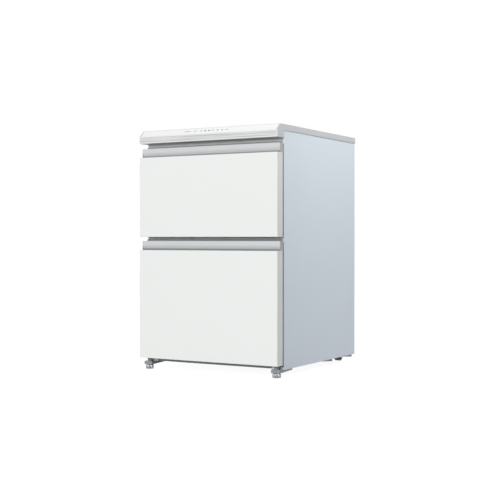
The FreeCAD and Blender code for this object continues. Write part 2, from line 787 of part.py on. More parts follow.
# Control housing and top
def make_top_cover():
    """Moulded top with the control housing hung in front of the cabinet."""
    body = new_body("TopCover")
    profile = [
        (FRONT, HOUSING_BASE),
        (FRONT, FASCIA_BASE),
        (FASCIA_BACK, "overall_height"),
        ("overall_depth / 2", "overall_height"),
        ("overall_depth / 2", CASE_TOP),
        (HOUSING_BACK, CASE_TOP),
        (HOUSING_BACK, HOUSING_BASE),
    ]
    solid = pad(body, outline(body, "YZ_Plane", "0", profile), "overall_width", middle=True)
    corner = limited("cover_round", "cover_wall")
    fillet(body, solid, corner, lambda e: runs_along(e, "z") and middle_of(e).y > 0)
    inner_width = f"2 * ({HALF} - cover_wall)"
    inner_top = "(overall_height - cover_wall)"
    housing = [
        (f"{FRONT} + cover_wall", HOUSING_BASE),
        (f"{FRONT} + cover_wall", FASCIA_INNER_BASE),
        (FASCIA_INNER_BACK, inner_top),
        (f"{HOUSING_BACK} - cover_wall", inner_top),
        (f"{HOUSING_BACK} - cover_wall", HOUSING_BASE),
    ]
    under = rectangle((CASE_FRONT, "overall_depth / 2 - cover_wall"), (CASE_TOP, inner_top))
    recesses = [
        (housing, inner_width),
        (under, inner_width),
        (control_profile(), CONTROL_WIDTH),
        (trim_profile(), TRIM_WIDTH),
    ]
    for recess, width in recesses:
        pocket(body, outline(body, "YZ_Plane", "0", recess), width, middle=True)
    node("top_cover", body)


def on_fascia(along, inward):
    """A point on the sloping face, a distance up from its foot and a depth into the wall."""
    y = f"{FRONT} + ({along} * fascia_run + {inward} * fascia_rise) / {FASCIA_SLOPE}"
    z = f"{FASCIA_BASE} + ({along} * fascia_rise - {inward} * fascia_run) / {FASCIA_SLOPE}"
    return y, z


def fascia_strip(length, near, far):
    """Section of a plate that lies in the middle of the sloping wall, between two depths."""
    low, high = f"(({FASCIA_SLOPE} - {length}) / 2)", f"(({FASCIA_SLOPE} + {length}) / 2)"
    return [on_fascia(low, near), on_fascia(high, near), on_fascia(high, far), on_fascia(low, far)]


def control_profile():
    return fascia_strip(f"({FASCIA_SLOPE} - 2 * control_margin)", "0", "control_thickness")


def trim_profile():
    return rectangle(
        (FRONT, f"{FRONT} + trim_thickness"),
        (f"{HOUSING_BASE} + trim_base", f"{FASCIA_BASE} - trim_top"),
    )


def make_control_panel():
    """Touch panel let into the sloping face."""
    body = new_body("ControlPanel")
    pad(body, outline(body, "YZ_Plane", "0", control_profile()), CONTROL_WIDTH, middle=True)
    node("control_panel", body)


def make_front_trim():
    """Grey strip let into the front of the housing."""
    body = new_body("FrontTrim")
    pad(body, outline(body, "YZ_Plane", "0", trim_profile()), TRIM_WIDTH, middle=True)
    node("front_trim", body)


def make_control_board():
    """Circuit board fixed to the back of the sloping wall."""
    body = new_body("ControlBoard")
    profile = fascia_strip("board_width", "cover_wall", "(cover_wall + board_thickness)")
    pad(body, outline(body, "YZ_Plane", "0", profile), "board_length", middle=True)
    node("control_board", body)


def make_housing_floor():
    """Plate that closes the control housing from below."""
    plate = box(
        across(f"({HALF} - cover_wall)"),
        (f"({FRONT} + cover_wall)", f"({HOUSING_BACK} - cover_wall)"),
        (HOUSING_BASE, f"({HOUSING_BASE} + cover_wall)"),
    )
    node("housing_floor", plate)


# Feet
def make_foot_brackets():
    """Front brackets that reach forward under the lower drawer to carry the levelling feet.

    Each is a channel, closed in front, whose walls taper to the rear, with a weld nut for the stud.
    """
    body = new_body("FootBracket")
    tip = f"({BRACKET_FRONT} + bracket_length)"
    profile = [
        (BRACKET_FRONT, BRACKET_BASE),
        (tip, f"{BRACKET_SEAT} - bracket_toe"),
        (tip, TRAY_TOP),
        (BRACKET_FRONT, TRAY_TOP),
    ]
    block = pad(body, outline(body, "YZ_Plane", FOOT_X, profile), "2 * bracket_half_width", middle=True)
    middle = value(FOOT_Y)
    nose = limited("bracket_nose", "(bracket_half_width / 2)")
    fillet(body, block, nose, lambda e: runs_along(e, "z") and middle_of(e).y < middle)
    hollow = rectangle((f"{BRACKET_FRONT} + bracket_gauge", tip), (BRACKET_BASE, BRACKET_SEAT))
    inside = "2 * (bracket_half_width - bracket_gauge)"
    pocket(body, outline(body, "YZ_Plane", FOOT_X, hollow), inside, middle=True)
    nut = new_body("WeldNut")
    pad(nut, outline(nut, "XY_Plane", TRAY_TOP, polygon("nut_radius", 6)), f"{BRACKET_TOP} - {TRAY_TOP}")
    place(nut, FOOT_X, FOOT_Y)
    start = (FOOT_X, FOOT_Y, COLLAR_TOP)
    bore = rod(start, "stud_radius + running_clearance", f"{BRACKET_TOP} - {COLLAR_TOP} + fit_gap", "z")
    node("foot_brackets", both(cut(fuse(body, nut), bore)))


def make_feet():
    """Levelling feet: eight-sided pad to turn by hand, lock nut under the bracket, and stud."""
    for name, side in SIDES.items():
        body = new_body("Foot")
        pad(body, outline(body, "XY_Plane", "0", polygon("foot_radius", 8)), COLLAR_BASE)
        nut = outline(body, "XY_Plane", COLLAR_BASE, polygon(COLLAR_RADIUS, 6))
        pad(body, nut, f"{COLLAR_TOP} - {COLLAR_BASE}")
        place(body, f"{side} * {FOOT_X}", FOOT_Y)
        reach = f"{BRACKET_TOP} - {COLLAR_TOP} - fit_gap"
        stud = rod((f"{side} * {FOOT_X}", FOOT_Y, COLLAR_TOP), "stud_radius", reach, "z")
        node(f"{name}_foot", fuse(body, stud))


# Drawer fronts
def make_front(drawer):
    panel_top = f"({drawer.top} - grip_rise)"
    groove = f"({panel_top} - grip_depth)"
    rear = f"({FRONT_BACK} - inner_wall)"
    make_front_panel(drawer, panel_top, rear)
    make_grip(drawer, panel_top, groove, rear)
    make_front_core(drawer, panel_top, groove, rear)
    make_inner_panel(drawer)
    make_gasket(drawer)


def make_front_panel(drawer, panel_top, rear):
    """Painted pan: face, two sides and a bottom, open above for the grip."""
    body = new_body("FrontPanel")
    face = rectangle(across(HALF), (drawer.base, panel_top))
    depth = f"{rear} - {FRONT}"
    block = pad(body, outline(body, "XZ_Plane", f"0 - {FRONT}", face), depth, reverse=True)
    front = value(FRONT)
    top = value(panel_top)

    def face_edge(edge):
        middle = middle_of(edge)
        return abs(middle.y - front) < TOLERANCE and abs(middle.z - top) > TOLERANCE

    fillet(body, block, limited("skin_round", "skin"), face_edge)
    inside = rectangle(across(f"({HALF} - skin)"), (f"{drawer.base} + skin", panel_top))
    pocket(body, outline(body, "XZ_Plane", f"0 - {FRONT} - skin", inside), depth)
    node(f"{drawer.name}_front_panel", body)


def riser_line(drawer, panel_top, low, high, setback):
    """One side of the riser, upwards: drawn back below, with a nose that overhangs the groove."""
    face = f"({FRONT} + {setback})"
    hollow = f"({face} + grip_undercut)"
    return [(hollow, low), (hollow, panel_top), (face, f"({drawer.top} - grip_nose)"), (face, high)]


def riser_back(drawer, panel_top, groove):
    """Far side of the riser, where the foam meets it."""
    low = f"({groove} - grip_wall)"
    high = f"({drawer.top} - grip_wall)"
    return riser_line(drawer, panel_top, low, high, "grip_setback + grip_wall")


def make_grip(drawer, panel_top, groove, rear):
    """Moulded finger groove behind the top of the panel, with the undercut riser above it."""
    body = new_body("Grip")
    near = f"({FRONT} + skin)"
    riser = riser_line(drawer, panel_top, groove, drawer.top, "grip_setback")
    profile = [
        (near, panel_top),
        (f"{near} + grip_wall", panel_top),
        (f"{near} + grip_wall", groove),
        *riser,
        (rear, drawer.top),
        (rear, f"{drawer.top} - grip_wall"),
        *reversed(riser_back(drawer, panel_top, groove)),
        (near, f"{groove} - grip_wall"),
    ]
    moulding = pad(body, outline(body, "YZ_Plane", "0", profile), f"2 * ({HALF} - skin)", middle=True)
    coved = fillet(body, moulding, "grip_cove", edge_at(riser[0]))
    fillet(body, coved, "grip_nose_round", edge_at(riser[2]))
    end = box((f"({HALF} - skin)", HALF), (riser[2][0], rear), (panel_top, drawer.top))
    node(f"{drawer.name}_grip", fuse(body, both(end)))


def plug_face(drawer, margin):
    """Outline of the plug that enters the compartment, or of the hollow behind it."""
    inset = f"(plug_margin + {margin})"
    heights = (f"{drawer.floor} + {inset}", f"{drawer.ceiling} - {inset}")
    return rectangle(across(f"({IN_HALF} - {inset})"), heights)


def make_front_core(drawer, panel_top, groove, rear):
    """Foam inside the drawer front, up into the hollow riser and back into the plug."""
    body = new_body("FrontCore")
    profile = [
        (f"{FRONT} + skin", f"{drawer.base} + skin"),
        (f"{FRONT} + skin", f"{groove} - grip_wall"),
        *riser_back(drawer, panel_top, groove),
        (rear, f"{drawer.top} - grip_wall"),
        (rear, f"{drawer.base} + skin"),
    ]
    pad(body, outline(body, "YZ_Plane", "0", profile), f"2 * ({HALF} - skin)", middle=True)
    plug = outline(body, "XZ_Plane", f"0 - {rear}", plug_face(drawer, "inner_wall"))
    pad(body, plug, "plug_depth", reverse=True)
    node(f"{drawer.name}_front_core", body)


def make_inner_panel(drawer):
    """Moulded back of the drawer front, with a hollow plug that enters the compartment."""
    body = new_body("InnerPanel")
    level = f"inner_wall - {FRONT_BACK}"
    face = rectangle(across(HALF), (drawer.base, drawer.top))
    pad(body, outline(body, "XZ_Plane", level, face), "inner_wall", reverse=True)
    sketch = outline(body, "XZ_Plane", f"0 - {FRONT_BACK}", plug_face(drawer, "0"))
    plug = pad(body, sketch, "plug_depth", reverse=True)
    seam = value(FRONT_BACK)
    corner = limited("plug_round", "inner_wall")
    fillet(body, plug, corner, lambda e: runs_along(e, "y") and middle_of(e).y > seam)
    pocket(body, outline(body, "XZ_Plane", level, plug_face(drawer, "inner_wall")), "plug_depth")
    node(f"{drawer.name}_inner_panel", body)


def make_gasket(drawer):
    """Magnetic seal: a base strip, a narrow bellows and a head that meets the cabinet."""
    layers = [
        ("0", "gasket_base", "0"),
        ("gasket_base", "seal_gap - gasket_head", "(gasket_width - gasket_neck) / 2"),
        ("seal_gap - gasket_head", "seal_gap - gasket_clearance", "0"),
    ]
    rings = []
    for start, end, margin in layers:
        body = new_body("Gasket")
        outer = gasket_edge(drawer, f"({margin})")
        inner = gasket_edge(drawer, f"(gasket_width - {margin})")
        sketch = outline(body, "XZ_Plane", f"0 - {FRONT_BACK} - ({start})", outer, inner)
        pad(body, sketch, f"{end} - ({start})", reverse=True)
        rings.append(body)
    node(f"{drawer.name}_gasket", fuse(*rings))


def gasket_edge(drawer, margin):
    return rectangle(
        across(f"({HALF} - gasket_side_inset - {margin})"),
        (f"{drawer.base} + gasket_end_inset + {margin}", f"{drawer.top} - gasket_end_inset - {margin}"),
    )


# Runners and bins
def rim_top(drawer):
    return f"({drawer.ceiling} - bin_headroom)"


def arm_top(drawer):
    return f"({rim_top(drawer)} - rim_thickness)"


def rail_centre(drawer):
    return f"({arm_top(drawer)} - arm_rise)"


def channel(drawer, web, lips, half_height):
    """One rolled runner member: a web with a lip along each edge."""
    body = new_body("Channel")
    centre = rail_centre(drawer)
    low, high = f"({centre} - {half_height})", f"({centre} + {half_height})"
    web_outer, web_inner = web
    profile = [
        (web_outer, low),
        (lips, low),
        (lips, f"{low} + rail_gauge"),
        (web_inner, f"{low} + rail_gauge"),
        (web_inner, f"{high} - rail_gauge"),
        (lips, f"{high} - rail_gauge"),
        (lips, high),
        (web_outer, high),
    ]
    pad(body, outline(body, "XZ_Plane", f"0 - {RAIL_FRONT}", profile), drawer.rail_length, reverse=True)
    return body


def glides(drawer, x, heights, span):
    """Nylon blocks above and below a member, which fill its race."""
    centre = rail_centre(drawer)
    low, high = heights
    above = (f"({centre} + {low})", f"({centre} + {high})")
    below = (f"({centre} - {high})", f"({centre} - {low})")
    return [box(x, span, above), box(x, span, below)]


def make_runners(drawer):
    """Telescopic runners in three members: on the liner, between, and on the drawer."""
    outer = channel(drawer, (IN_HALF, OUTER_WEB), OUTER_LIP, OUTER_HALF)
    middle = channel(drawer, (MIDDLE_WEB, MIDDLE_WEB_IN), MIDDLE_LIP, MIDDLE_HALF)
    inner = channel(drawer, (ARM_OUTER, f"({ARM_OUTER} + rail_gauge)"), INNER_LIP, INNER_HALF)
    outer_x = (OUTER_LIP, MIDDLE_WEB)
    inner_x = (MIDDLE_LIP, INNER_LIP)
    on_outer = (f"({MIDDLE_HALF} + glide_clearance)", OUTER_RACE)
    over_middle = (MIDDLE_HALF, f"({OUTER_RACE} - glide_clearance)")
    in_middle = (f"({INNER_HALF} + glide_clearance)", MIDDLE_RACE)
    over_inner = (INNER_HALF, f"({MIDDLE_RACE} - glide_clearance)")
    back = f"({RAIL_FRONT} + {drawer.rail_length})"
    at_front = (RAIL_FRONT, f"({RAIL_FRONT} + glide_length)")
    at_rear = (f"({back} - glide_length)", back)
    fixed = fuse(outer, *glides(drawer, outer_x, on_outer, at_front))
    floating = fuse(
        middle,
        *glides(drawer, outer_x, over_middle, at_rear),
        *glides(drawer, inner_x, in_middle, at_front),
    )
    moving = fuse(inner, *glides(drawer, inner_x, over_inner, at_rear))
    node(f"{drawer.name}_outer_rails", both(fixed))
    node(f"{drawer.name}_middle_rails", both(floating))
    node(f"{drawer.name}_inner_rails", both(moving))


def make_arms(drawer):
    """Folded steel arms from the drawer front to the inner rails, whose top fold carries the bin."""
    top = arm_top(drawer)
    low = f"({rail_centre(drawer)} - {INNER_HALF})"
    back = f"({RAIL_FRONT} + {drawer.rail_length})"
    web = box((ARM_INNER, ARM_OUTER), (PLUG_BACK, back), (low, top))
    fold = box((f"({ARM_OUTER} - arm_fold)", ARM_OUTER), (PLUG_BACK, back), (f"({top} - arm_gauge)", top))
    tab = box((f"({ARM_OUTER} - arm_tab)", ARM_OUTER), (PLUG_BACK, f"({PLUG_BACK} + arm_gauge)"), (low, top))
    node(f"{drawer.name}_arms", both(fuse(web, fold, tab)))


def bin_back(drawer):
    """Rear face of a bin: clear of the coil's cover above, of the liner below."""
    return f"({EVAPORATOR_FRONT if drawer is UPPER else IN_REAR} - bin_rear_gap)"


def tub(inset, y, z, radius):
    """A block that tapers down from the rim, with rounded corners."""
    body = new_body("Tub")
    low, high = z
    draw = f"(bin_draft * ({high} - {low}))"
    half = f"({BIN_HALF} - {inset})"
    block = body.newObject("PartDesign::AdditiveWedge", "Taper")
    block.AttachmentSupport = [(origin_part(body, "XZ_Plane"), "")]
    block.MapMode = "FlatFace"
    corners = {
        "Xmin": f"0 - {half} + {draw}",
        "Xmax": f"{half} - {draw}",
        "X2min": f"0 - {half}",
        "X2max": half,
        "Ymin": low,
        "Ymax": high,
        "Zmin": f"{draw} - {y[1]}",
        "Zmax": f"0 - {y[0]} - {draw}",
        "Z2min": f"0 - {y[1]}",
        "Z2max": f"0 - {y[0]}",
    }
    for name, formula in corners.items():
        block.setExpression(name, bound(formula))
    doc.recompute()
    span = block.Shape.BoundBox
    fillet(body, block, radius, lambda e: span.ZMin + TOLERANCE < middle_of(e).z < span.ZMax - TOLERANCE)
    return body


def bin_block(drawer, inset, radius):
    """Outside or hollow of a bin, whose floor steps up behind in the lower drawer."""
    front = f"({BIN_FRONT} + {inset})"
    back = f"({bin_back(drawer)} - {inset})"
    low = f"({drawer.floor} + bin_floor_gap + {inset})"
    high = rim_top(drawer)
    if drawer is UPPER:
        return tub(inset, (front, back), (low, high), radius)
    deep_back = f"({STEP_REAR} - bin_rear_gap - {inset})"
    shelf = f"({STEP_TOP} + bin_floor_gap + {inset})"
    deep = tub(inset, (front, deep_back), (low, high), radius)
    return fuse(deep, tub(inset, (front, back), (shelf, high), radius))


def make_bin(drawer):
    """Moulded bin with a wide rim, which rests on the arms."""
    outside = bin_block(drawer, "0", "bin_round")
    walls = cut(outside, bin_block(drawer, "bin_wall", "bin_round - bin_wall"))
    body = new_body("Rim")
    back = bin_back(drawer)
    inner = rectangle(across(f"({BIN_HALF} - bin_wall)"), (f"{BIN_FRONT} + bin_wall", f"{back} - bin_wall"))
    outer = rectangle(across(f"({ARM_OUTER} - bin_arm_gap)"), (BIN_FRONT, f"{back} + rim_end_reach"))
    pad(body, outline(body, "XY_Plane", arm_top(drawer), outer, inner), "rim_thickness")
    node(f"{drawer.name}_bin", fuse(walls, body))


# Cooling parts in the upper compartment
def make_evaporator_cover():
    """Moulded panel in front of the coil, with an outlet grille at the fan and return slots below."""
    body = new_body("EvaporatorCover")
    half = f"({IN_HALF} - fit_gap)"
    face = rectangle(across(half), (f"{UPPER_FLOOR} + fit_gap", f"{UPPER_CEILING} - fit_gap"))
    sketch = outline(body, "XZ_Plane", f"0 - {EVAPORATOR_FRONT}", face)
    block = pad(body, sketch, "evaporator_space", reverse=True)
    fillet(body, block, "liner_round", lambda e: runs_along(e, "y"))
    inner = rectangle(
        across(f"({half} - cover_panel)"),
        (f"{UPPER_FLOOR} + fit_gap + cover_panel", f"{UPPER_CEILING} - fit_gap - cover_panel"),
    )
    pocket(body, outline(body, "XZ_Plane", f"0 - {SHROUD_FRONT}", inner), "evaporator_space")
    first = f"({FAN_Z} - outlet_pitch * (outlet_count - 1) / 2)"
    outlet = rectangle(across("(outlet_length / 2)"), about(first, "outlet_height / 2"))
    slot = pocket(body, outline(body, "XZ_Plane", f"0 - {EVAPORATOR_FRONT}", outlet), "cover_panel")
    row_of(body, slot, "Z_Axis", "outlet_pitch", "outlet_count")
    start = "(0 - return_pitch * (return_slots - 1) / 2)"
    base = f"({UPPER_FLOOR} + 2 * trough_height)"
    intake = rectangle(about(start, "return_width / 2"), (base, f"{base} + return_height"))
    opening = pocket(body, outline(body, "XZ_Plane", f"0 - {EVAPORATOR_FRONT}", intake), "cover_panel")
    row_of(body, opening, "X_Axis", "return_pitch", "return_slots")
    node("evaporator_cover", body)


def make_coil():
    """Straight cooling tubes in two columns and two rows, held by the caps over their return bends."""
    tubes = []
    for y in (COIL_FRONT, COIL_BACK):
        for z in (COIL_BASE, COIL_TOP):
            tubes.append(rod((f"(0 - {COIL_HALF})", y, z), "coil_radius", f"2 * {COIL_HALF}", "x"))
    group = doc.addObject("Part::Compound", "CoilTubes")
    group.Links = tubes
    node("evaporator_coil", group)
    front, back = f"({COIL_FRONT} - fin_margin)", f"({COIL_BACK} + fin_margin)"
    height = (f"({COIL_BASE} - fin_margin)", f"({COIL_TOP} + fin_margin)")
    node("evaporator_caps", both(box((COIL_HALF, CAP_END), (front, back), height)))


def make_fins():
    """Thin plates across the coil, slotted from the front to slide over its rows."""
    body = new_body("Fin")
    front = f"({COIL_FRONT} - coil_radius - fit_gap)"
    back = f"({COIL_BACK} + fin_margin)"
    stop = f"({COIL_BACK} + coil_radius)"
    corners = [(front, f"{COIL_BASE} - fin_margin")]
    for height in (COIL_BASE, COIL_TOP):
        low, high = f"{height} - coil_radius", f"{height} + coil_radius"
        corners += [(front, low), (stop, low), (stop, high), (front, high)]
    corners += [(front, f"{COIL_TOP} + fin_margin"), (back, f"{COIL_TOP} + fin_margin")]
    corners.append((back, f"{COIL_BASE} - fin_margin"))
    first = "(0 - fin_pitch * (fin_count - 1) / 2)"
    pad(body, outline(body, "YZ_Plane", first, corners), "fin_gauge", middle=True)
    array = doc.addObject("Part::Feature", "Fins")
    doc.recompute()
    pitch = Vector(sheet.get("fin_pitch"), 0, 0)
    plates = [body.Shape.translated(pitch * i) for i in range(int(sheet.get("fin_count")))]
    array.Shape = Part.Compound(plates)
    node("evaporator_fins", array)


def make_heater():
    """Defrost heater under the coil, carried by the posts of the trough."""
    start = (f"(0 - {COIL_HALF})", COIL_MID, HEATER_Z)
    node("defrost_heater", rod(start, "heater_radius", f"2 * {COIL_HALF}", "x"))


def make_trough():
    """Drip trough under the coil, on the floor of its duct, with a post at each end for the heater."""
    inset = "(cover_panel + fit_gap)"
    x = across(f"({IN_HALF} - liner_round - {inset})")
    y = (f"({SHROUD_FRONT} + trough_end_gap)", f"({IN_REAR} - trough_end_gap)")
    low = f"({UPPER_FLOOR} + {inset})"
    z = (low, f"({low} + trough_height)")
    inner_x = across(f"({IN_HALF} - liner_round - {inset} - trough_wall)")
    inner_y = (f"({y[0]} + trough_wall)", f"({y[1]} - trough_wall)")
    hollow = box(inner_x, inner_y, (f"({low} + trough_wall)", z[1]))
    posts = []
    for side in SIDES.values():
        end = f"({side} * ({COIL_HALF} - fin_margin))"
        height = (f"({low} + trough_wall)", f"({HEATER_Z} - heater_radius)")
        posts.append(box(about(end, "trough_wall / 2"), inner_y, height))
    spout = ("drain_offset", inner_y[1], DRAIN_Z)
    spout_hole = rod(spout, "drain_radius - drain_wall", "2 * trough_wall", "y")
    node("drain_trough", cut(fuse(cut(box(x, y, z), hollow), *posts), spout_hole))


def make_drain_tube():
    """Drain elbow from the back of the trough down through the foam to the drip tray."""
    spout = ("drain_offset", f"{IN_REAR} - trough_end_gap", DRAIN_Z)
    run = f"({DRAIN_Y} - {IN_REAR} + trough_end_gap)"
    outlet = ("drain_offset", DRAIN_Y, f"({DRIP_BASE} + drip_height)")
    fall = f"({DRAIN_Z} - {DRIP_BASE} - drip_height)"
    outside = fuse(
        rod(spout, "drain_radius", f"{run} + drain_radius", "y"),
        rod(outlet, "drain_radius", f"{fall} + drain_radius", "z"),
    )
    inside = fuse(
        rod(spout, "drain_radius - drain_wall", run, "y"),
        rod(outlet, "drain_radius - drain_wall", fall, "z"),
    )
    node("drain_tube", cut(outside, inside))


def make_fan():
    """Fan: shroud with its motor strut, motor with shaft, and bladed rotor."""
    bore = "(fan_radius + fan_tip_gap)"
    start = f"({SHROUD_FRONT} + shroud_depth)"
    ring = box(across(SHROUD_HALF), (SHROUD_FRONT, start), about(FAN_Z, SHROUD_HALF))
    throat = rod(("0", SHROUD_FRONT, FAN_Z), bore, "shroud_depth", "y")
    strut = new_body("Strut")
    inner = f"({SHROUD_HALF} - shroud_wall)"
    profile = [
        (f"0 - {SHROUD_HALF}", start),
        (f"0 - {inner}", start),
        (f"0 - {inner}", STRUT_FRONT),
        (inner, STRUT_FRONT),
        (inner, start),
        (SHROUD_HALF, start),
        (SHROUD_HALF, STRUT_BACK),
        (f"0 - {SHROUD_HALF}", STRUT_BACK),
    ]
    pad(strut, outline(strut, "XY_Plane", FAN_Z, profile), "strut_height", middle=True)
    shaft_hole = rod(("0", STRUT_FRONT, FAN_Z), "shaft_radius", "strut_gauge", "y")
    node("fan_shroud", cut(fuse(cut(ring, throat), strut), shaft_hole))
    case = rod(("0", STRUT_BACK, FAN_Z), "motor_radius", "motor_depth", "y")
    shaft = rod(("0", ROTOR_FRONT, FAN_Z), "shaft_radius", f"{STRUT_BACK} - {ROTOR_FRONT}", "y")
    node("fan_motor", fuse(case, shaft))
    make_rotor()


def make_rotor():
    """Hub with pitched blades that widen outwards, built upright and laid over to face the compartment."""
    body = new_body("FanRotor")
    hub = rectangle(("(shaft_radius + running_clearance)", "fan_hub_radius"), ("0", "fan_depth"))
    revolve(body, outline(body, "XZ_Plane", "0", hub))
    root, tip = "(fan_hub_radius - blade_thickness)", "sqrt(fan_radius ^ 2 - tip_chord ^ 2)"
    blade = [(root, "0 - root_chord"), (tip, "0 - tip_chord"), (tip, "tip_chord"), (root, "root_chord")]
    sketch = outline(body, "XY_Plane", "fan_depth / 2", blade)
    sketch.AttachmentOffset = Placement(Vector(), Rotation(Vector(1, 0, 0), sheet.get("blade_pitch")))
    vane = pad(body, sketch, "blade_thickness", middle=True)
    ring_of(body, vane, "fan_blades")
    node("fan_rotor", place(body, "0", ROTOR_FRONT, FAN_Z, AXES["y"]))


# Machine compartment
def make_compressor():
    """Welded shell with a domed top on its foot plate, standing on four rubber mounts."""
    body = new_body("Compressor")
    top = f"({SHELL_BASE} + compressor_height)"
    profile = [
        ("0", SHELL_BASE),
        ("compressor_radius", SHELL_BASE),
        ("compressor_radius", f"{top} - compressor_crown"),
        ("compressor_radius - compressor_crown", top),
        ("0", top),
    ]
    revolve(body, outline(body, "XZ_Plane", "0", profile))
    plate = rectangle(across("base_half_length"), across("base_half_width"))
    pad(body, outline(body, "XY_Plane", PLATE_BASE, plate), "base_plate")
    node("compressor", place(body, COMPRESSOR_X, COMPRESSOR_Y))
    mounts = []
    for x in "-+":
        for y in "-+":
            mount = new_body("Mount")
            pad(mount, outline(mount, "XY_Plane", TRAY_TOP, polygon("mount_radius", 6)), "compressor_lift")
            side = f"{COMPRESSOR_X} {x} (base_half_length - mount_inset)"
            mounts.append(place(mount, side, f"{COMPRESSOR_Y} {y} (base_half_width - mount_inset)"))
    group = doc.addObject("Part::Compound", "Mounts")
    group.Links = mounts
    node("compressor_mounts", group)


def make_terminal_cover():
    """Cover over the compressor's terminals, hollowed to its shell."""
    low = f"({SHELL_BASE} + terminal_rise)"
    block = box(
        about(COMPRESSOR_X, "terminal_half_width"),
        (f"({COMPRESSOR_Y} - compressor_radius - terminal_depth)", COMPRESSOR_Y),
        (low, f"({low} + terminal_height)"),
    )
    start = (COMPRESSOR_X, COMPRESSOR_Y, SHELL_BASE)
    shell = rod(start, "compressor_radius + fit_gap", "compressor_height", "z")
    node("terminal_cover", cut(block, shell))


def make_drip_tray():
    """Evaporating tray fixed to the front wall of the machine compartment."""
    x = ("drip_left", f"({SHEET_HALF} - drip_right_gap)")
    y = (MACHINE_FRONT, f"({MACHINE_FRONT} + drip_depth)")
    z = (DRIP_BASE, f"({DRIP_BASE} + drip_height)")
    inner = box(
        (f"({x[0]} + drip_wall)", f"({x[1]} - drip_wall)"),
        (f"({y[0]} + drip_wall)", f"({y[1]} - drip_wall)"),
        (f"({z[0]} + drip_wall)", z[1]),
    )
    node("drip_tray", cut(box(x, y, z), inner))


def build():
    make_outer_shell()
    make_rear_panel()
    make_machine_cover()
    make_mains_gland()
    make_base_panel()
    make_base_tray()
    make_rollers()
    make_liners()
    make_front_crossbar()
    make_insulation()
    make_top_cover()
    make_control_panel()
    make_front_trim()
    make_control_board()
    make_housing_floor()
    make_foot_brackets()
    make_feet()
    for drawer in DRAWERS:
        make_front(drawer)
        make_runners(drawer)
        make_arms(drawer)
        make_bin(drawer)
    make_evaporator_cover()
    make_coil()
    make_fins()
    make_heater()
    make_trough()
    make_drain_tube()
    make_fan()
    make_compressor()
    make_terminal_cover()
    make_drip_tray()


def check():
    """Stop before writing if an object failed or a shape is not sound."""
    doc.recompute()
    failed = [item.Name for item in doc.Objects if {"Invalid", "Error"} & set(item.State)]
    unsound = [piece.Label for piece in NODES if piece.Shape.isNull() or not piece.Shape.isValid()]
    if failed or unsound:
        raise RuntimeError(f"failed objects {failed}, unsound shapes {unsound}")


def write():
    os.makedirs("parts", exist_ok=True)
    for piece in NODES:
        piece.Shape.exportStep(f"parts/{piece.Label}.step")


build()
check()
write()
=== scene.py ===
"""Dresses a two-drawer freezer: finishes, fasteners, seals, ribs, printed marks and a plain stage.

Lengths are in metres in Blender's own units, and MM turns millimetres into them.
X runs to the right, Y to the back and Z up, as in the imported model.
"""
import math

import bmesh
import bpy
from bpy.props import FloatProperty, FloatVectorProperty, IntProperty, PointerProperty
from mathutils import Matrix, Vector


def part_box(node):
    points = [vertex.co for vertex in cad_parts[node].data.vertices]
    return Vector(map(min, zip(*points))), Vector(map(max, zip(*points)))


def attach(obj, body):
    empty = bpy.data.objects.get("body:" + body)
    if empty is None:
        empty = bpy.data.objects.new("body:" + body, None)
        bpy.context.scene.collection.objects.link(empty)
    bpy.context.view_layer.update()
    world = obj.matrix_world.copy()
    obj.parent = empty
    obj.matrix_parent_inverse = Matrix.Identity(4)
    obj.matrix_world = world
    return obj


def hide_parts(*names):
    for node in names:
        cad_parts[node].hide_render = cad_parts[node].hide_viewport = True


bl_info = {
    "name": "Drawer freezer",
    "version": (1, 0, 0),
    "blender": (4, 5, 0),
    "location": "3D View > Sidebar > Freezer",
    "description": "Dresses a two-drawer freezer with finishes, fittings and a plain stage",
    "category": "Object",
}

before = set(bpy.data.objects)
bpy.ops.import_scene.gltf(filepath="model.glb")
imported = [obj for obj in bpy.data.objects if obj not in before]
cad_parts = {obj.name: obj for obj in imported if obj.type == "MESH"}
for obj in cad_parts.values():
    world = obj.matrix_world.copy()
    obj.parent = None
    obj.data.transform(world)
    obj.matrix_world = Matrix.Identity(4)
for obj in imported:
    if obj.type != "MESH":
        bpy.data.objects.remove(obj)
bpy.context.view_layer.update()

MM = 0.001
DRAWERS = ("upper", "lower")
SIDES = (-1, 1)
RIGHT = Vector((1, 0, 0))
BACK = Vector((0, 1, 0))
UP = Vector((0, 0, 1))
# Signs of a rectangle's corners, in order round it.
CORNERS = ((-1, -1), (1, -1), (1, 1), (-1, 1))

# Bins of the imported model: wall, taper, half width inside at the rim, and room for the rounded corners.
BIN_WALL = 2 * MM
BIN_DRAFT = 0.035
BIN_HALF = 167 * MM
BIN_CORNER = 40 * MM
# The lower bin steps up behind: the end of its deep floor, and the start and height of the other one.
DEEP_FLOOR_END = 10 * MM
HIGH_FLOOR_START = 70 * MM
HIGH_FLOOR = 258 * MM

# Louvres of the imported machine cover: number on each side, distance, and where a slot starts and ends.
LOUVRES = 8
LOUVRE_PITCH = 14 * MM
LOUVRE_START = 20 * MM
LOUVRE_END = 170 * MM

# Screws, in millimetres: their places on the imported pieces, and the gauge of the arms that they hold.
HOUSING_SCREWS_X = (-200, -70, 70, 200)
HOUSING_SCREWS_Y = -248
ARM_GAUGE = 1.5
ARM_SCREW_X = 174
ARM_SCREW_RISES = (10, 34)
COVER_SCREW_X = 182
COVER_SCREW_INSET = 12
BACK_EDGE_X = 229
BACK_EDGE_HEIGHTS = (34, 114, 194, 216, 375, 540, 700)
BACK_JOINT_X = 110
BACK_JOINT_HEIGHTS = (194, 216, 702)


def linear(code):
    """An sRGB hex colour as linear red, green, blue and alpha."""
    parts = [int(code[i:i + 2], 16) / 255 for i in (0, 2, 4)]
    return (*(p / 12.92 if p <= 0.04045 else ((p + 0.055) / 1.055) ** 2.4 for p in parts), 1.0)


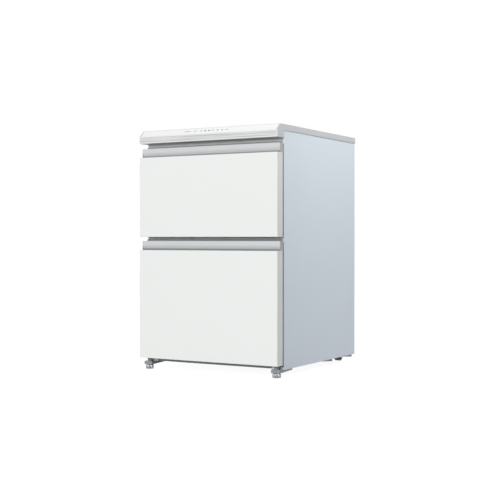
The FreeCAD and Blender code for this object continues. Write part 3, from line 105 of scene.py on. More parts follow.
def paint_property(title, code, use):
    """A colour that a user may change, given as sRGB hex."""
    return FloatVectorProperty(name=title, description=use, subtype="COLOR", size=4, min=0, max=1,
                               default=linear(code))


def length_property(title, millimetres, use):
    """A length that a user may change, given in millimetres."""
    return FloatProperty(name=title, description=use, subtype="DISTANCE", unit="LENGTH", min=0,
                         default=millimetres * MM)


def power_property(title, watts, use):
    """A lamp's power that a user may change."""
    return FloatProperty(name=title, description=use, subtype="POWER", unit="POWER", min=0, default=watts)


class FreezerColours(bpy.types.PropertyGroup):
    """Colours of the finishes that show."""

    cabinet: paint_property("Cabinet", "DDE5EC", "Powder coat on the sides of the cabinet")
    front: paint_property("Fronts", "EDEEEB", "Gloss paint on the faces of the drawers")
    # The folded edges' greyer colour is painted shade of the drawers' side faces.
    edge: paint_property("Front edges", "DDDEDB", "The same paint on the folded edges, in a thinner coat")
    # The top cover's grey is painted shade of its sides, and the paler lip colour is a painted highlight on
    # its front face.
    cover: paint_property("Top cover", "C8C8CA", "Grained moulding of the top")
    lip: paint_property("Lip", "E2E2E1", "The same moulding where it frames the trim, polished")
    strip: paint_property("Control strip", "EBEBEA", "Gloss strip on the slope")
    trim: paint_property("Trim", "E0E0E0", "Hairline film on the trim below the slope")
    grip: paint_property("Grips", "D2D4D4", "Moulded finger grooves")
    seal: paint_property("Seals", "5A5C5E", "Magnetic seals behind the fronts")
    # The grey of the lips on the seals is painted shade in the gaps above the fronts.
    shading_lip_grey: paint_property("Dust lips", "929496", "Thin lips on the top of the seals")
    # The grey of the strips in the finger grooves is painted shade where the grooves lie in shadow.
    bead: paint_property("Groove beads", "A0A2A3", "Soft beads along the finger grooves")
    bracket: paint_property("Foot brackets", "929597", "Stoved paint on the front brackets")
    base: paint_property("Base", "8F9395", "Phosphate coat on the pressed base")
    ink: paint_property("Marks", "808284", "Printed marks on the control strip")


class FreezerSizes(bpy.types.PropertyGroup):
    """Sizes of the small fittings."""

    screw: length_property("Screw head", 3.4, "Radius of a pan head screw")
    screw_rise: length_property("Screw height", 1.3, "How far a screw head stands up")
    mark_rise: length_property("Mark height", 0.1, "Thickness of the printed marks")
    mark_line: length_property("Mark line", 1.2, "Width of the line of a printed ring")
    hood_rise: length_property("Louvre rise", 1.6, "How far a louvre's hood stands out of the back")
    rib_pitch: length_property("Bin rib pitch", 30, "Distance between the ribs on a bin's floor")
    edge: length_property("Soft edge", 0.3, "Rounding of folded and moulded edges")
    flutes: IntProperty(name="Foot flutes", description="Flutes round a levelling foot", min=6, max=36,
                        default=8)


class FreezerStage(bpy.types.PropertyGroup):
    """Camera and light."""

    camera_turn: FloatProperty(name="Turn", description="Camera's turn to the right of the front",
                               subtype="ANGLE", default=math.radians(29.8))
    camera_place: FloatVectorProperty(name="Camera", description="Where the camera stands", size=3,
                                      subtype="TRANSLATION", unit="LENGTH",
                                      default=(1.661, -2.907, 0.402))
    lens: FloatProperty(name="Lens", description="Focal length of the camera", unit="CAMERA", default=75.96)
    shift: FloatProperty(name="Shift", description="Vertical shift of the level camera", default=-0.024)
    sky: FloatProperty(name="Sky", description="Even light from all round", min=0, default=0.4)
    key: power_property("Key", 640, "Soft light from the front")
    side: power_property("Side", 12, "Soft light on each side")
    rear: power_property("Rear", 60, "Soft light on the back")


# Materials


def per_mm(size):
    """Texture scale at which the pattern's features have that size in millimetres."""
    return 1 / (size * MM)


def add_node(tree, kind, inputs=None, **settings):
    """Adds a shader node, applies its settings, and links or sets its inputs."""
    node = tree.nodes.new("ShaderNode" + kind)
    for name, value in settings.items():
        setattr(node, name, value)
    for name, value in (inputs or {}).items():
        if isinstance(value, bpy.types.NodeSocket):
            tree.links.new(value, node.inputs[name])
        else:
            node.inputs[name].default_value = value
    return node


def new_material(name):
    """A material with one shader, and the place on the part that its patterns follow."""
    material = bpy.data.materials.new(name)
    material.use_nodes = True
    tree = material.node_tree
    tree.nodes.clear()
    shader = add_node(tree, "BsdfPrincipled")
    add_node(tree, "OutputMaterial", {"Surface": shader.outputs["BSDF"]})
    place = add_node(tree, "TexCoord").outputs["Object"]
    return tree, shader, place


def darker(colour, share):
    """The colour with its light cut by that share."""
    return (*(part * (1 - share) for part in colour[:3]), 1.0)


def surface(name, colour, roughness, blotch, grain, depth, spread=0.03, stretch=(1, 1, 1), **sockets):
    """A coated or moulded finish: two close tones in soft blotches, uneven gloss and a low relief.

    blotch, grain and depth are in millimetres, and roughness runs from the first to the second value.
    spread is how much darker the second tone is, and a stretch below 1 draws the pattern out on that axis.
    """
    tree, shader, place = new_material(name)
    run = add_node(tree, "Mapping", {"Vector": place, "Scale": stretch}).outputs[0]
    patch = add_node(tree, "TexNoise", {"Vector": run, "Scale": per_mm(blotch), "Detail": 2.0}).outputs[0]
    tone = add_node(tree, "Mix", {0: patch, 6: colour, 7: darker(colour, spread)}, data_type="RGBA")
    gloss = add_node(tree, "MapRange", {"Value": patch, "To Min": roughness[0], "To Max": roughness[1]})
    relief = add_node(tree, "TexNoise", {"Vector": run, "Scale": per_mm(grain), "Detail": 3.0})
    bump = add_node(tree, "Bump", {"Height": relief.outputs[0], "Distance": depth * MM, "Strength": 0.6})
    tree.links.new(tone.outputs[2], shader.inputs["Base Color"])
    tree.links.new(gloss.outputs[0], shader.inputs["Roughness"])
    tree.links.new(bump.outputs[0], shader.inputs["Normal"])
    for socket, value in sockets.items():
        shader.inputs[socket.replace("_", " ").title()].default_value = value
    return tree, shader, place, tone


def second_coat(made, start, end, colour, axis="Y"):
    """Changes a finish to another colour between two places on an axis."""
    tree, shader, place, tone = made
    along = add_node(tree, "SeparateXYZ", {0: place}).outputs[axis]
    share = add_node(tree, "MapRange", {"Value": along, "From Min": start, "From Max": end})
    both = add_node(tree, "Mix", {0: share.outputs[0], 6: tone.outputs[2], 7: colour}, data_type="RGBA")
    tree.links.new(both.outputs[2], shader.inputs["Base Color"])
    return tree, shader, place, both


def gloss_painted_steel(colours):
    """Sprayed and stoved gloss paint, with the folded edges painted greyer as painted shade of the side
    faces.
    """
    # Orange peel of about 5 mm bends the reflections a little, and the face stays clean white.
    made = surface("Gloss-painted steel", colours.front, (0.2, 0.26), 90, 5, 0.02, 0.012,
                   coat_weight=0.25, coat_roughness=0.08)
    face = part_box("upper_front_panel")[0].y
    side_shade_start, side_shade_end = face + 0.4 * MM, face + 1.6 * MM
    # From where the face rounds over, the folded edges get a greyer colour, as painted shade of the side
    # faces.
    second_coat(made, side_shade_start, side_shade_end, colours.edge)


def powder_coated_steel(colours):
    """Powder coat on folded steel, with the front flange painted white and neutral, as painted light in the
    shaded gaps above the fronts.
    """
    # Powder flows into a soft orange peel of about 3 mm, so the sides have a satin sheen.
    made = surface("Powder-coated steel", colours.cabinet, (0.38, 0.46), 120, 3, 0.03, 0.015)
    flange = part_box("outer_shell")[0].y
    flange_light_start, flange_light_end = flange + 0.7 * MM, flange + 0.2 * MM
    # The front flange takes the fronts' white as painted light in the shaded gaps above the fronts.
    second_coat(made, flange_light_start, flange_light_end, colours.front)


def grained_abs(colours):
    """Moulded plastic, grained all over, in a grey that is painted shade of the sides, with a paler front
    face round the trim as a painted highlight.
    """
    # Spark-eroded tool texture: a dull, even grain, about 0.4 mm, drawn at 1.6 mm so that it shows.
    made = surface("Grained ABS", colours.cover, (0.46, 0.56), 60, 1.6, 0.05, 0.02)
    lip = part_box("top_cover")[0].y
    lip_highlight_start, lip_highlight_end = lip + 1.2 * MM, lip + 0.4 * MM
    # The front face round the trim is painted paler, as a painted highlight.
    second_coat(made, lip_highlight_start, lip_highlight_end, colours.lip)


def satin_abs(colours):
    """Moulded plastic of the grips, painted darker on the two end faces as painted shade."""
    # Fine satin grain, and flow lines that follow the length of the moulding.
    made = surface("Satin ABS", colours.grip, (0.32, 0.4), 40, 1.8, 0.03, 0.03, (0.2, 1, 1))
    # The end faces are painted darker, as painted shade.
    end_shade = darker(colours.grip, 0.4)
    for end in [corner.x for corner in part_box("upper_grip")]:
        inward = math.copysign(MM, -end)
        end_shade_start, end_shade_end = end + 0.7 * inward, end + 0.3 * inward
        made = second_coat(made, end_shade_start, end_shade_end, end_shade, "X")


def galvanised_sheet():
    """Hot-dip zinc on steel, left as it froze."""
    # Zinc freezes in flat crystals of about 9 mm, and each one has its own grey and gloss.
    tree, shader, place = new_material("Galvanised sheet")
    crystal = add_node(tree, "TexVoronoi", {"Vector": place, "Scale": per_mm(9), "Randomness": 1.0})
    shade = add_node(tree, "SeparateColor", {0: crystal.outputs["Color"]}).outputs["Red"]
    tone = add_node(tree, "Mix", {0: shade, 6: linear("777C7F"), 7: linear("92979A")}, data_type="RGBA")
    gloss = add_node(tree, "MapRange", {"Value": shade, "To Min": 0.34, "To Max": 0.52})
    tree.links.new(tone.outputs[2], shader.inputs["Base Color"])
    tree.links.new(gloss.outputs[0], shader.inputs["Roughness"])
    shader.inputs["Metallic"].default_value = 0.85


def hairline_film(colours):
    """Silver film on moulded plastic, with drawn lines along the trim."""
    # The lines are about 0.3 mm apart on such a film, and are drawn 2 mm apart so that they show.
    tree, shader, place = new_material("Hairline film on ABS")
    run = add_node(tree, "Mapping", {"Vector": place, "Scale": (0.012, 1, 1)}).outputs[0]
    line = add_node(tree, "TexNoise", {"Vector": run, "Scale": per_mm(2.2), "Detail": 2.0}).outputs[0]
    crisp = add_node(tree, "MapRange", {"Value": line, "From Min": 0.36, "From Max": 0.64})
    dark = darker(colours.trim, 0.3)
    tone = add_node(tree, "Mix", {0: crisp.outputs[0], 6: dark, 7: colours.trim}, data_type="RGBA")
    bump = add_node(tree, "Bump", {"Height": line, "Distance": 0.05 * MM, "Strength": 0.5})
    tree.links.new(tone.outputs[2], shader.inputs["Base Color"])
    tree.links.new(bump.outputs[0], shader.inputs["Normal"])
    shader.inputs["Roughness"].default_value = 0.34


def circuit_board():
    """Glass-epoxy laminate under green solder resist."""
    # Copper tracks lift the resist in fine straight lines, about 1.5 mm apart.
    tree, shader, place = new_material("Glass-epoxy laminate")
    run = add_node(tree, "Mapping", {"Vector": place, "Scale": (0.1, 1, 1)}).outputs[0]
    track = add_node(tree, "TexVoronoi", {"Vector": run, "Scale": per_mm(1.5)}).outputs["Distance"]
    tone = add_node(tree, "Mix", {0: track, 6: linear("2F7A4C"), 7: linear("1B5233")}, data_type="RGBA")
    tree.links.new(tone.outputs[2], shader.inputs["Base Color"])
    shader.inputs["Roughness"].default_value = 0.3


def make_finishes(colours):
    """Makes each finish once, under its name."""
    gloss_painted_steel(colours)
    powder_coated_steel(colours)
    grained_abs(colours)
    satin_abs(colours)
    galvanised_sheet()
    hairline_film(colours)
    circuit_board()
    # Polished tool: a smooth clear gloss with hardly any relief.
    surface("Polycarbonate strip", colours.strip, (0.1, 0.14), 80, 12, 0.005, 0.008, coat_weight=0.12)
    # Extruded soft profile with a waxy bloom that dulls it in patches.
    surface("Soft PVC", colours.seal, (0.5, 0.65), 14, 2, 0.03, 0.12)
    # A matt grey for the lips on the seals, whose grey is painted shade in the gaps above the fronts.
    surface("Middle grey PVC", colours.shading_lip_grey, (0.55, 0.68), 14, 2, 0.03, 0.1)
    # A paler, smoother grey than the seals for the strips in the finger grooves, as painted shade where the
    # grooves lie in shadow.
    surface("Soft grey PVC", colours.bead, (0.42, 0.55), 12, 2, 0.03, 0.08)
    # Vacuum-formed sheet: very smooth, with a faint waviness where it was drawn.
    surface("Gloss polystyrene", linear("F0F2F2"), (0.2, 0.28), 70, 9, 0.02, 0.02)
    # Injection moulding that lets light through and scatters it, with a cold tint.
    surface("Frosted polystyrene", linear("DDE7ED"), (0.3, 0.42), 45, 1.5, 0.04, 0.04,
            subsurface_weight=0.35, subsurface_scale=0.004)
    # Bright zinc plate: faintly patchy from the bath, drawn lines from the rolling along its length.
    surface("Zinc-plated steel", linear("C4C8CC"), (0.22, 0.36), 22, 1.2, 0.02, 0.18, (1, 0.25, 1),
            metallic=1.0)
    # Turned and plated steel with fine tool marks, a little darker than the pressed parts.
    surface("Turned plated steel", linear("9C9FA2"), (0.22, 0.34), 9, 0.8, 0.01, 0.15, (1, 1, 4),
            metallic=1.0)
    # Thin stoved paint over pressed steel, satin, slightly rubbed.
    surface("Stoved grey paint", colours.bracket, (0.36, 0.5), 18, 1.4, 0.03, 0.12)
    # Zinc phosphate on pressed steel: a dull, fine crystal coat, cloudy where it dried last.
    surface("Phosphated steel", colours.base, (0.55, 0.7), 24, 1, 0.04, 0.12)
    # Thick gloss enamel, a little wavy from dipping.
    surface("Stoved black enamel", linear("161718"), (0.24, 0.36), 26, 2.5, 0.03, 0.2)
    # Moulded black parts, dull from the tool and a little dusty.
    surface("Black ABS", linear("232426"), (0.4, 0.52), 20, 1.2, 0.03, 0.2)
    # Nylon without pigment: nearly white, waxy, scuffed by the floor.
    surface("Natural nylon", linear("DDE0E2"), (0.42, 0.58), 8, 1.2, 0.05, 0.2, subsurface_weight=0.05)
    # Vulcanised rubber with a bloom of wax.
    surface("Black rubber", linear("1D1D1E"), (0.6, 0.75), 9, 1, 0.05, 0.25)
    # Rolled aluminium as it leaves the mill, with lines along its length.
    surface("Mill-finish aluminium", linear("C7CACC"), (0.26, 0.38), 20, 0.9, 0.02, 0.12, (0.2, 1, 1),
            metallic=1.0)
    # Closed-cell foam, cut or skinned, with cells of about 1 mm.
    surface("Rigid polyurethane foam", linear("E6D8A6"), (0.8, 0.95), 30, 1, 0.3, 0.12)
    # Pad-printed ink with a dry edge.
    surface("Printed ink", colours.ink, (0.4, 0.5), 3, 0.8, 0.01, 0.1)


# Building

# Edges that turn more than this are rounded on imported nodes.
ROUNDED_ANGLE = math.radians(40)
# Faces that turn less than this from each other are one flat, and corners this close are one corner.
FLAT_ANGLE = math.radians(0.5)
WELD_REACH = 0.01 * MM
# Edges that turn more than this stay crisp on the pieces made here.
CRISP_ANGLE = math.radians(35)


def dress(names, finish, edge=0.0):
    """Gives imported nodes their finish, and softens their edges by that width."""
    for name in names:
        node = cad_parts[name]
        node.data.materials.clear()
        node.data.materials.append(bpy.data.materials[finish])
        if edge:
            soften(node, edge)


def soften(item, width):
    """Rounds an object's sharp edges and shades its flats evenly."""
    weld = item.modifiers.new("Joined faces", "WELD")
    weld.merge_threshold = WELD_REACH
    flats = item.modifiers.new("Whole flats", "DECIMATE")
    flats.decimate_type = "DISSOLVE"
    flats.angle_limit = FLAT_ANGLE
    bevel = item.modifiers.new("Soft edges", "BEVEL")
    bevel.width = width
    bevel.segments = 2
    bevel.limit_method = "ANGLE"
    bevel.angle_limit = ROUNDED_ANGLE
    shading = item.modifiers.new("Even shading", "WEIGHTED_NORMAL")
    shading.keep_sharp = False


def piece(name, mesh, finish, body):
    """Turns a mesh into an object with a finish that moves with a body."""
    bmesh.ops.recalc_face_normals(mesh, faces=mesh.faces)
    data = bpy.data.meshes.new(name)
    mesh.to_mesh(data)
    mesh.free()
    data.materials.append(bpy.data.materials[finish])
    data.shade_smooth()
    data.set_sharp_from_angle(angle=CRISP_ANGLE)
    item = bpy.data.objects.new(name, data)
    bpy.context.scene.collection.objects.link(item)
    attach(item, body)
    return item


def loft(mesh, rings, closed=False):
    """Skins a row of rings of as many points each, and caps the ends or joins the last to the first."""
    loops = [[mesh.verts.new(point) for point in ring] for ring in rings]
    pairs = list(zip(loops, loops[1:]))
    if closed:
        pairs.append((loops[-1], loops[0]))
    for low, high in pairs:
        for i, corner in enumerate(low):
            j = (i + 1) % len(low)
            mesh.faces.new((corner, low[j], high[j], high[i]))
    if not closed:
        mesh.faces.new(loops[0])
        mesh.faces.new(loops[-1])


def spoke(turn, reach, angle, height):
    """Offset of a point at that reach, angle and height round a turned axis."""
    return turn @ Vector((reach * math.cos(angle), reach * math.sin(angle), height))


def turned(mesh, centre, axis, profile, shape=None, count=24, closed=False):
    """Skins rings round an axis: a row of the profile is a height, a radius and the share of the shape."""
    turn = axis.to_track_quat("Z", "Y").to_matrix()
    rings = []
    for height, radius, share in profile:
        ring = []
        for i in range(count):
            angle = 2 * math.pi * i / count
            reach = radius * (1 + share * (shape(angle) - 1 if shape else 0))
            ring.append(centre + spoke(turn, reach, angle, height))
        rings.append(ring)
    loft(mesh, rings, closed)


def bar(mesh, low, high, edge):
    """A bar with rounded edges between two corners."""
    low, high = Vector(low), Vector(high)
    block = Matrix.LocRotScale((low + high) / 2, None, high - low)
    made = bmesh.ops.create_cube(mesh, size=1, matrix=block)
    edges = {side for corner in made["verts"] for side in corner.link_edges}
    bmesh.ops.bevel(mesh, geom=list(edges), offset=edge, segments=2, profile=0.5, affect="EDGES")


# Cross recess of a screw: half width of an arm as a share of its length, and the angles of its corners.
CROSS_WIDTH = 0.3
CROSS_TILT = math.degrees(math.atan(CROSS_WIDTH))
CROSS_ANGLES = [math.radians(90 * k + turn) for k in range(4) for turn in (-CROSS_TILT, CROSS_TILT, 45)]
# Height and radius of each ring as shares of the head's, and whether it follows the recess.
HEAD_RINGS = ((-0.1, 1.0, False), (0.35, 1.0, False), (0.8, 0.86, False), (1.0, 0.62, False),
              (1.0, 0.56, True), (0.35, 0.5, True))


def cross_reach(angle):
    """Radius of a cross recess of arm length 1 in that direction."""
    tiny = 1e-9
    along, aside = max(abs(math.cos(angle)), tiny), max(abs(math.sin(angle)), tiny)
    return max(min(1 / along, CROSS_WIDTH / aside), min(1 / aside, CROSS_WIDTH / along))


def screw(mesh, place, outward, sizes, scale):
    """A pan head with a cross recess, seated on a surface."""
    turn = outward.to_track_quat("Z", "Y").to_matrix()
    radius, rise = sizes.screw * scale, sizes.screw_rise * scale
    rings = []
    for height, share, crossed in HEAD_RINGS:
        ring = []
        for angle in CROSS_ANGLES:
            reach = radius * share * (cross_reach(angle) if crossed else 1)
            ring.append(place + spoke(turn, reach, angle, rise * height))
        rings.append(ring)
    loft(mesh, rings)


def screws(name, places, outward, sizes, body, scale=1.0, finish="Turned plated steel"):
    """A set of screws of one kind, as one piece."""
    mesh = bmesh.new()
    for place in places:
        screw(mesh, Vector(place) * MM, outward, sizes, scale)
    piece(name, mesh, finish, body)


def seal_frame(drawer):
    """Extruded seal with a bellows and a flat magnet face, mitred at the corners."""
    low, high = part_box(f"{drawer}_gasket")
    depth = (high.y - low.y) / MM
    # Inset from the outer edge and distance from the front, in millimetres, round half of the profile.
    outer = [(0.6, 0), (0, 0.6), (0, 2.4), (0.6, 3), (2.2, 3.3), (3.2, 4.3), (1.4, 5.4), (0.4, 6.2), (0, 7),
             (0, 8.8), (0.3, 9.4), (1, depth), (5.2, depth), (5.6, depth - 0.4)]
    width = 12
    inner = [(width - inset, behind) for inset, behind in reversed(outer)]
    rings = []
    for inset, behind in outer + inner:
        left, right = low.x + inset * MM, high.x - inset * MM
        base, top = low.z + inset * MM, high.z - inset * MM
        y = low.y + behind * MM
        corners = ((left, base), (right, base), (right, top), (left, top))
        rings.append([Vector((x, y, z)) for x, z in corners])
    mesh = bmesh.new()
    loft(mesh, rings, closed=True)
    item = piece(f"{drawer}_seal", mesh, "Soft PVC", f"{drawer}_drawer")
    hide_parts(f"{drawer}_gasket")


def long_shade_strip(name, drawer, start, profile, half, finish):
    """Grey profile along the top of a front, lower at both ends, which carries painted shade."""
    run_out, thin = 2 * MM, 0.3
    rings = []
    for x, share in ((-half, thin), (-half + run_out, 1), (half - run_out, 1), (half, thin)):
        rings.append([Vector((x, start.y + back * MM, start.z + up * share * MM)) for back, up in profile])
    mesh = bmesh.new()
    loft(mesh, rings)
    piece(name, mesh, finish, f"{drawer}_drawer")


def shading_lip(drawer):
    """Thin lip on the top of a seal, whose grey is painted shade in the gap above the front."""
    low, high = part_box(f"{drawer}_gasket")
    # Distance behind the seal's front and rise above its top, in millimetres, round the profile.
    profile = ((2.8, -1.5), (2.9, 0.6), (3.1, 5.8), (3.3, 6.6), (3.7, 7), (4.1, 6.6), (4.3, 5.8),
               (4.5, 0.6), (4.6, -1.5))
    start = Vector((0, low.y, high.z))
    # The lip stops just short of the seal's corners.
    half = high.x - 2 * MM
    long_shade_strip(f"{drawer}_dust_lip", drawer, start, profile, half, "Middle grey PVC")


def groove_shade_strip(drawer):
    """Grey strip along the undercut of a finger groove, level with the sheet's edge, as painted shade where
    the groove lies in shadow.
    """
    low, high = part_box(f"{drawer}_front_panel")
    # Distance behind the face and rise above the sheet's edge, in millimetres, round the profile.
    profile = ((25.6, -0.6), (23.4, -0.6), (22.6, 0.4), (21.4, 3.2), (20.4, 5.2), (20.4, 6), (21, 6.4),
               (22.2, 6.2))
    start = Vector((0, low.y, high.z))
    # The strip stops just short of the front's sides.
    half = high.x - 1.2 * MM
    long_shade_strip(f"{drawer}_groove_bead", drawer, start, profile, half, "Soft grey PVC")


# Place along the strip, kind, half width and half height of each mark, in millimetres.
MARKS = ((-70, "bar", 10.5, 1.1), (-42, "ring", 3.3, 3.3), (-22, "bar", 1.2, 3.6), (-8, "dot", 3.2, 3.2),
         (5, "dot", 3.2, 3.2), (19, "ring", 3.3, 3.3), (35, "dot", 2.5, 2.5), (51, "dot", 2.5, 2.5),
         (67, "bar", 4.5, 1.1))


def control_marks(sizes):
    """Plain bars, rings and dots printed on the slope of the control strip."""
    low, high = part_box("control_panel")
    outward = Vector((0, -1, 1)).normalized()
    rise = Vector((0, 1, 1)).normalized()
    # The strip is thin, so its outer face lies half its thickness above the middle of its box.
    half_strip = 0.6
    middle = (low + high) / 2 + outward * half_strip * MM
    sunk, proud = -0.02 * MM, sizes.mark_rise
    mesh = bmesh.new()
    for offset, kind, wide, tall in MARKS:
        centre = middle + RIGHT * offset * MM
        radius = tall * MM
        rim = [(sunk, radius, 0), (proud, radius, 0)]
        if kind == "bar":
            corners = [RIGHT * wide * MM * a + rise * radius * b for a, b in CORNERS]
            loft(mesh, [[centre + corner + outward * z for corner in corners] for z in (sunk, proud)])
        elif kind == "ring":
            inner = radius - sizes.mark_line
            turned(mesh, centre, outward, rim + [(proud, inner, 0), (sunk, inner, 0)], closed=True)
        else:
            turned(mesh, centre, outward, rim)
    piece("control_marks", mesh, "Printed ink", "cabinet")


def louvre_hoods(sizes):
    """Shallow pressed hoods over the slots in the machine cover."""
    low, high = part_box("machine_cover")
    middle = (low.z + high.z) / 2
    gauge, above = 0.5 * MM, 3.6 * MM
    # Share of the rise, and height against the top edge in millimetres, down the outside of a hood.
    outer = ((0, 0.3), (0.55, -1.2), (0.9, -2.8), (1, -4.4))
    tuck = 0.3
    mesh = bmesh.new()
    for side in SIDES:
        near, far = sorted((side * LOUVRE_START, side * LOUVRE_END))
        # Each end rises from the sheet over 8 mm.
        ends = ((near, 0.1), (near + 3 * MM, 0.7), (near + 8 * MM, 1), (far - 8 * MM, 1),
                (far - 3 * MM, 0.7), (far, 0.1))
        for i in range(LOUVRES):
            top = middle + (i - (LOUVRES - 1) / 2) * LOUVRE_PITCH + above
            rings = []
            for x, share in ends:
                rise = sizes.hood_rise * share
                ring = [Vector((x, high.y + rise * out, top + drop * MM)) for out, drop in outer]
                ring += [Vector((x, high.y + rise * out - gauge * share, top + (drop - tuck) * MM))
                         for out, drop in reversed(outer)]
                rings.append(ring)
            loft(mesh, rings)
    piece("louvre_hoods", mesh, "Galvanised sheet", "cabinet")


def bin_floors(drawer):
    """Height, start and end of each floor of a bin, clear of its rounded corners."""
    low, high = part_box(f"{drawer}_bin")
    start, back, floor = low.y + BIN_CORNER, high.y - BIN_CORNER, low.z + BIN_WALL
    if drawer == "upper":
        return [(floor, start, back)]
    return [(floor, start, DEEP_FLOOR_END), (HIGH_FLOOR + BIN_WALL, HIGH_FLOOR_START, back)]


def floor_rib(mesh, y, floor):
    """A low rounded rib across the floor of a bin."""
    half_length, half_width, edge = 130 * MM, 1.5 * MM, 0.6 * MM
    base, top = floor - 0.3 * MM, floor + 1.2 * MM
    bar(mesh, (-half_length, y - half_width, base), (half_length, y + half_width, top), edge)


def wall_bead(mesh, side, y, floor, rim):
    """A bead up a side wall of a bin, which runs out into the wall at both ends."""
    base, top = floor + 22 * MM, rim - 26 * MM
    run_out, full, sunk = 5 * MM, 1.1 * MM, 0.4 * MM
    rings = []
    for z, proud in ((base, 0), (base + run_out, full), (top - run_out, full), (top, 0)):
        wall = BIN_HALF - BIN_DRAFT * (rim - z)
        # Distance into the wall, and along it in millimetres, round the bead.
        section = ((sunk, -2.2), (sunk, 2.2), (-0.7 * proud, 1.5), (-proud, 0.6), (-proud, -0.6),
                   (-0.7 * proud, -1.5))
        rings.append([Vector((side * (wall + out), y + aside * MM, z)) for out, aside in section])
    loft(mesh, rings)


def bin_ribs(drawer, sizes):
    """Low ribs across the floors of a bin, each with a bead up both side walls."""
    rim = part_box(f"{drawer}_bin")[1].z
    mesh = bmesh.new()
    for floor, start, end in bin_floors(drawer):
        for i in range(int((end - start) / sizes.rib_pitch) + 1):
            y = start + i * sizes.rib_pitch
            floor_rib(mesh, y, floor)
            for side in SIDES:
                wall_bead(mesh, side, y, floor, rim)
    piece(f"{drawer}_bin_ribs", mesh, "Frosted polystyrene", f"{drawer}_drawer")


def outlet_bezel():
    """Rounded frame round the air outlets in the evaporator's cover."""
    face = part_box("evaporator_cover")[0].y
    low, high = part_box("fan_rotor")
    middle = (low.z + high.z) / 2
    half_width, half_height, count = 37, 39, 48
    # A power below 1 pushes a circle out towards a square with rounded corners.
    squareness = 0.3
    rings = []
    # Distance from the inner edge and rise from the cover, in millimetres, round the profile.
    for out, rise in ((0, -0.3), (0.3, 1), (1.2, 1.6), (3.4, 1.6), (4.6, 0.8), (5, -0.3)):
        ring = []
        for k in range(count):
            angle = 2 * math.pi * k / count
            circle = (math.cos(angle), math.sin(angle))
            wave = [math.copysign(abs(part) ** squareness, part) for part in circle]
            x = wave[0] * (half_width + out) * MM
            z = middle + wave[1] * (half_height + out) * MM
            ring.append(Vector((x, face - rise * MM, z)))
        rings.append(ring)
    mesh = bmesh.new()
    loft(mesh, rings, closed=True)
    piece("outlet_bezel", mesh, "Satin ABS", "cabinet")


def in_metres(profile):
    """A turned profile whose heights and radii are given in millimetres."""
    return [(height * MM, radius * MM, share) for height, radius, share in profile]


def levelling_foot(side, sizes):
    """Plated foot with a lobed pad, a lock nut and a threaded stud."""
    low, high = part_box(f"{side}_foot")
    centre = Vector(((low.x + high.x) / 2, (low.y + high.y) / 2, 0))

    def lobed(angle):
        flute_depth, narrowness = 0.26, 1.5
        return 1 - flute_depth * (0.5 + 0.5 * math.cos(sizes.flutes * angle)) ** narrowness

    def hexagon(angle):
        half_side = math.pi / 6
        return math.cos(half_side) / math.cos((angle + half_side) % (2 * half_side) - half_side)

    mesh = bmesh.new()
    # Height and radius in millimetres, and the share of the lobes or of the hexagon, of each ring.
    pad = ((0, 9, 0), (0.6, 11.9, 1), (1.6, 12.5, 1), (11, 12.5, 1), (12, 12, 1), (12.8, 9, 0))
    turned(mesh, centre, UP, in_metres(pad), lobed, 96)
    nut = ((12.7, 6, 0), (12.9, 6.3, 1), (13.6, 6.8, 1), (20.6, 6.8, 1), (21.3, 6.3, 1), (21.5, 5.4, 0))
    turned(mesh, centre, UP, in_metres(nut), hexagon, 48)
    # The thread runs from just above the nut to just below the top of the stud.
    top = high.z / MM
    pitch, root, crest, first = 1.15, 3.45, 4, 21.6
    room = top - 22
    thread = [(21.4, 3.9, 0)]
    for i in range(int(room / pitch)):
        start = first + pitch * i
        thread += [(start, root, 0), (start + 0.5, crest, 0), (start + 0.65, crest, 0)]
    thread.append((top, 3.4, 0))
    turned(mesh, centre, UP, in_metres(thread))
    item = piece(f"{side}_levelling_foot", mesh, "Turned plated steel", f"{side}_foot")
    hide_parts(f"{side}_foot")


def front_bumpers():
    """Small black stops behind the lower corners of the lower front."""
    low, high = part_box("lower_front_panel")
    inner, outer = high.x - 7 * MM, high.x - 0.6 * MM
    front, back = high.y - 0.5 * MM, high.y + 9 * MM
    base, top = low.z - 4 * MM, low.z + 1.4 * MM
    edge = 0.8 * MM
    mesh = bmesh.new()
    for side in SIDES:
        near, far = sorted((side * inner, side * outer))
        bar(mesh, (near, front, base), (far, back, top), edge)
    piece("front_bumpers", mesh, "Black rubber", "lower_drawer")


# Stage

# Floor: half its width in metres, cells along a side, greys as seen and as it lights the object, and glow.
FLOOR_HALF = 20
FLOOR_CELLS = 8
FLOOR_SEEN = "7B7B7B"
FLOOR_LIGHT = "6F777E"
FLOOR_GLOW = 0.94
# Name, place, aim and size of each lamp in metres, and the property that holds its power.
LAMPS = (("Key light", (0.4, -9.2, 2.6), (0, 0, 0.4), (3.5, 3.5), "key"),
         ("Right light", (1.2, 0.1, 1.4), (0.24, 0, 0.6), (0.5, 1.2), "side"),
         ("Left light", (-1.8, 0.1, 0.7), (-0.24, 0, 0.4), (0.8, 0.8), "side"),
         ("Rear light", (0, 2.6, 3.0), (0, 0.27, 0.4), (0.4, 1.2), "rear"))
# Width of the camera's sensor in millimetres.
SENSOR_WIDTH = 36


def seen_directly(tree):
    """1 for what the camera sees, straight or in gloss or glass, and 0 for what only lights the object."""
    path = add_node(tree, "LightPath")
    straight = add_node(tree, "Math", {0: path.outputs["Is Camera Ray"], 1: path.outputs["Is Glossy Ray"]},
                        operation="ADD")
    through = {0: straight.outputs[0], 1: path.outputs["Is Transmission Ray"]}
    return add_node(tree, "Math", through, operation="ADD", use_clamp=True).outputs[0]


